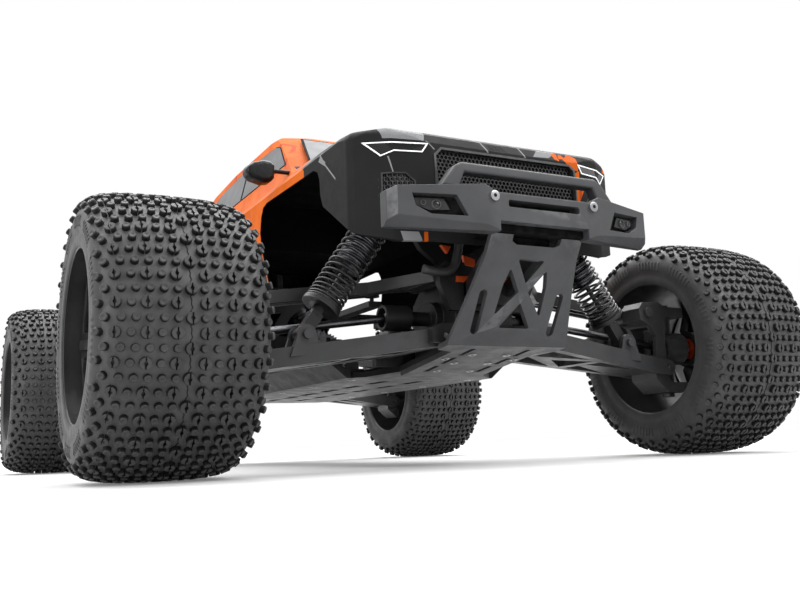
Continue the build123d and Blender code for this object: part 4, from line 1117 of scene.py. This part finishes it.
def brace_tube():
    """Round tube along BRACE_PATH, smoothed at its bends."""
    curve = bpy.data.curves.new("front_brace_tube", "CURVE")
    curve.dimensions = "3D"
    spline = curve.splines.new("NURBS")
    spline.points.add(len(BRACE_PATH) - 1)
    for target, p in zip(spline.points, BRACE_PATH):
        target.co = (*(c * MM for c in p), 1)
    spline.order_u = 3
    spline.use_endpoint_u = True
    spline.resolution_u = 8
    curve.bevel_depth = BRACE_RADIUS * MM
    curve.bevel_resolution = 4
    curve.use_fill_caps = True
    holder = bpy.data.objects.new("brace_path", curve)
    bpy.context.collection.objects.link(holder)
    bpy.context.view_layer.update()
    mesh = bpy.data.meshes.new_from_object(holder.evaluated_get(bpy.context.evaluated_depsgraph_get()))
    bpy.data.objects.remove(holder)
    mesh.materials.clear()
    return linked("front_brace_tube", mesh, ARM)


def add_front_details():
    place(brace_tube(), "chassis", (), "moulded_plastic", 40)
    fins = [prism("fin", sided(outline, s), "y", -264.6, -261.5, ORANGE, 0.6)
            for s in (1, -1) for outline in BRACE_FINS]
    fins.append(prism("bar", box(-25.6, 123.0, 25.6, 127.3), "y", -266.2, -263.5, ORANGE, 0.6))
    place(joined("brace_fins", fins), "chassis", (), "anodised_orange", 30)
    skid, plate = [], []
    for s in (1, -1):
        for x, y in SKID_SCREWS:
            z = SKID_START_Z + (abs(y) - SKID_START_Y) * SKID_SLOPE
            skid += socket_screw((s * x, y, z), (0, -SKID_SLOPE, -1), SCREW_RADIUS)
        for y in PLATE_SCREW_YS:
            plate += socket_screw((s * PLATE_SCREW_X, y, PLATE_SCREW_Z), (0, 0, -1), SCREW_RADIUS)
    place(joined("skid_screws", skid), "chassis", (), "steel", 30)
    place(joined("chassis_screw_heads", plate), "chassis", (), "steel", 30)


# ---- shocks; profiles are (distance above the lower eye, radius) ----
SHOCK_LOW, SHOCK_HIGH = (131, 247.5, 86), (57, 247.5, 192)    # eyes of the rear left shock
COLLAR = [(107.9, 10.2), (107.9, 13.0), (108.6, 13.2), (109.6, 13.2), (110, 12.4), (110.6, 12.4), (111, 13.2),
          (112, 13.2), (112.3, 12.6), (112.3, 9.6)]
CAP_FROM_TOP = [(15, 9.4), (15, 11.3), (12.5, 11.3), (12, 10.6), (11, 10.6), (10.5, 11.3), (8.5, 11.3), (6.8, 9.0)]
THREAD = [(0, 9.2), (0, 9.4), (0.6, 9.9), (1.0, 9.9), (1.6, 9.4), (1.6, 9.2)]
THREAD_START, THREAD_PITCH, THREADS = 58, 1.9, 26
CUPS = ((22.0, 13.1), (23.6, 13.1), (25.1, 12.2))             # (start, radius) of each ring of the lower cup
WIRE, COIL_RADIUS, COIL_LOW, COIL_HIGH, COILS = 0.95, 11.6, 26.2, 107.0, 17.0
COIL_SPREAD = 1.45        # above 1, the coils are closer at the bottom
COIL_STEPS, WIRE_SIDES = 28, 10


def add_shock_details():
    for end, side in CORNERS:
        sx, sy = corner_signs(end, side)
        corner = f"{end}_{side}"
        low, high = [Vector((x * sx, y * sy, z)) for x, y, z in (SHOCK_LOW, SHOCK_HIGH)]
        length, along = (high - low).length, (high - low).normalized()

        def ring(profile, material=SHOCK_ALLOY, sides=40):
            return turned("ring", profile, low, along, material, sides, True)

        starts = [THREAD_START + k * THREAD_PITCH for k in range(THREADS)]
        threads = [ring([(start + u, r) for u, r in THREAD], sides=32) for start in starts]
        top = [ring(COLLAR), ring([(length - u, r) for u, r in CAP_FROM_TOP])]
        place(joined(f"{corner}_shock_collar", top + threads), f"{corner}_shock", (), "shock_alloy", 40)
        cups = []
        for start, radius in CUPS:
            profile = [(0, 8), (0, radius - 0.5), (0.35, radius), (0.95, radius), (1.25, radius - 0.5), (1.25, 8)]
            cups.append(ring([(start + u, r) for u, r in profile], PLASTIC))
        place(joined(f"{corner}_spring_cup_rings", cups), f"{corner}_rod", (), "shock_plastic", 40)
        add_spring(corner, low, along)


def add_spring(corner, low, along):
    """Black progressive coil spring, closer wound at the bottom."""
    a = along.orthogonal().normalized()
    b = along.cross(a)
    steps = int(COILS * COIL_STEPS)
    verts = []
    for i in range(steps + 1):
        turn = TURN * COILS * i / steps
        out = a * math.cos(turn) + b * math.sin(turn)
        centre = low + along * (COIL_LOW + (COIL_HIGH - COIL_LOW) * (i / steps) ** COIL_SPREAD) + out * COIL_RADIUS
        verts += [(centre + p) * MM for p in circle(out, along, WIRE, WIRE_SIDES)]
    ends = [tuple(reversed(range(WIRE_SIDES))), tuple(steps * WIRE_SIDES + k for k in range(WIRE_SIDES))]
    spring = from_points(f"{corner}_coil_spring", verts, quads(steps + 1, WIRE_SIDES) + ends, BLACK_COAT)
    place(spring, f"{corner}_shock", f"{corner}_shock_spring", "spring_steel", 60, False)
    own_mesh(spring)


# ---- stage, light, camera ----
def add_stage():
    """Pale floor that glows more with distance, so that it meets the white world."""
    size, near, far, near_glow, far_glow = 6.0, 0.6, 2.2, 0.15, 0.6
    m = Nodes("studio_floor")
    x, y, _ = m.xyz()
    away = m.math("SQRT", m.math("ADD", m.both(x, x), m.both(y, y)))
    m.set(Base_Color=m.mix(m.noise(3, 2), (0.48, 0.48, 0.48), (0.50, 0.50, 0.50)), Roughness=0.8,
          Specular_IOR_Level=0.2, Emission_Color=(1, 1, 1, 1),
          Emission_Strength=m.ramp(away, near, far, near_glow, far_glow))
    corners = [(x, y, 0) for x, y in box(-size, -size, size, size)]
    from_points("floor", corners, [(0, 1, 2, 3)], m.material)


def add_light(name, location, target, size, power):
    data = bpy.data.lights.new(name, "AREA")
    data.shape = "RECTANGLE"
    data.size, data.size_y = size
    data.energy = power
    lamp = bpy.data.objects.new(name, data)
    lamp.location = location
    lamp.rotation_euler = (Vector(target) - Vector(location)).to_track_quat("-Z", "Y").to_euler()
    bpy.context.collection.objects.link(lamp)


def add_lights():
    world = bpy.data.worlds.new("studio")
    world.use_nodes = True
    background = world.node_tree.nodes["Background"]
    background.inputs["Color"].default_value = (1, 1, 1, 1)
    background.inputs["Strength"].default_value = 1.0
    bpy.context.scene.world = world
    bpy.context.scene.view_settings.view_transform = "Standard"
    add_light("key", (0.9, -1.4, 1.5), (0, -0.1, 0.1), (1.2, 1.2), 30)
    add_light("left_fill", (-1.6, -0.9, 0.7), (-0.1, -0.2, 0.1), (1.0, 1.4), 18)
    add_light("overhead", (0.1, 0.45, 1.8), (0, -0.1, 0.1), (3.4, 2.4), 115)


def add_camera():
    position, yaw, pitch, roll = (-0.3391, -0.7684, 0.0172), 0.492, 0.159, -0.037
    forward = Vector((math.sin(yaw) * math.cos(pitch), math.cos(yaw) * math.cos(pitch), math.sin(pitch)))
    level = Vector((math.cos(yaw), -math.sin(yaw), 0))
    right = math.cos(roll) * level + math.sin(roll) * level.cross(forward)
    turn = Matrix((right, right.cross(forward), -forward)).transposed().to_4x4()
    data = bpy.data.cameras.new("camera")
    data.lens = 40.14
    data.sensor_width = 36.0
    data.clip_start = 0.01
    camera = bpy.data.objects.new("camera", data)
    camera.matrix_world = Matrix.Translation(position) @ turn
    bpy.context.collection.objects.link(camera)
    bpy.context.scene.camera = camera


# ---- the truck ----
def add_carried_nodes():
    """CAD nodes whose shape is already right: most get rounded edges, and small metal ones a new material."""
    for nodes, material, width in (
            (("chassis_plate", "side_guards"), CHASSIS, 0.6),
            (("front_skid_plate", "rear_bumper"), BUMPER, 0.7),
            (("axle_gearboxes", "shock_towers", "centre_gearbox", "speed_controller", "steering_servo", "body_posts",
              "servo_saver", "steering_idler", "drag_link", "hinge_pin_braces"), PLASTIC, 0.5),
            (("motor",), SHOCK_ALLOY, 0.4)):
        for node in nodes:
            softened(node, material, width)
    for node, material in (("fasteners", STEEL), ("pinion", STEEL), ("centre_driveline", DARK_STEEL)):
        repaint(node, material)
    for end, side in CORNERS:
        corner = f"{end}_{side}"
        for part in ("lower_arm", "upper_arm", "caster_block", "steering_knuckle", "hub_carrier", "tie_rod"):
            if f"{corner}_{part}" in frame["nodes"]:
                softened(f"{corner}_{part}", ARM)
        softened(f"{corner}_shock_rod", PLASTIC, 0.4)
        softened(f"{corner}_shock_body", SHOCK_ALLOY, 0.4)
        repaint(f"{corner}_half_shaft", DARK_STEEL)


add_camera()
add_stage()
add_lights()
add_carried_nodes()
add_tyres()
add_wheels()
add_shell()
add_nose()
add_tail()
add_windows()
add_mirrors()
add_bumper()
add_front_details()
add_shock_details()
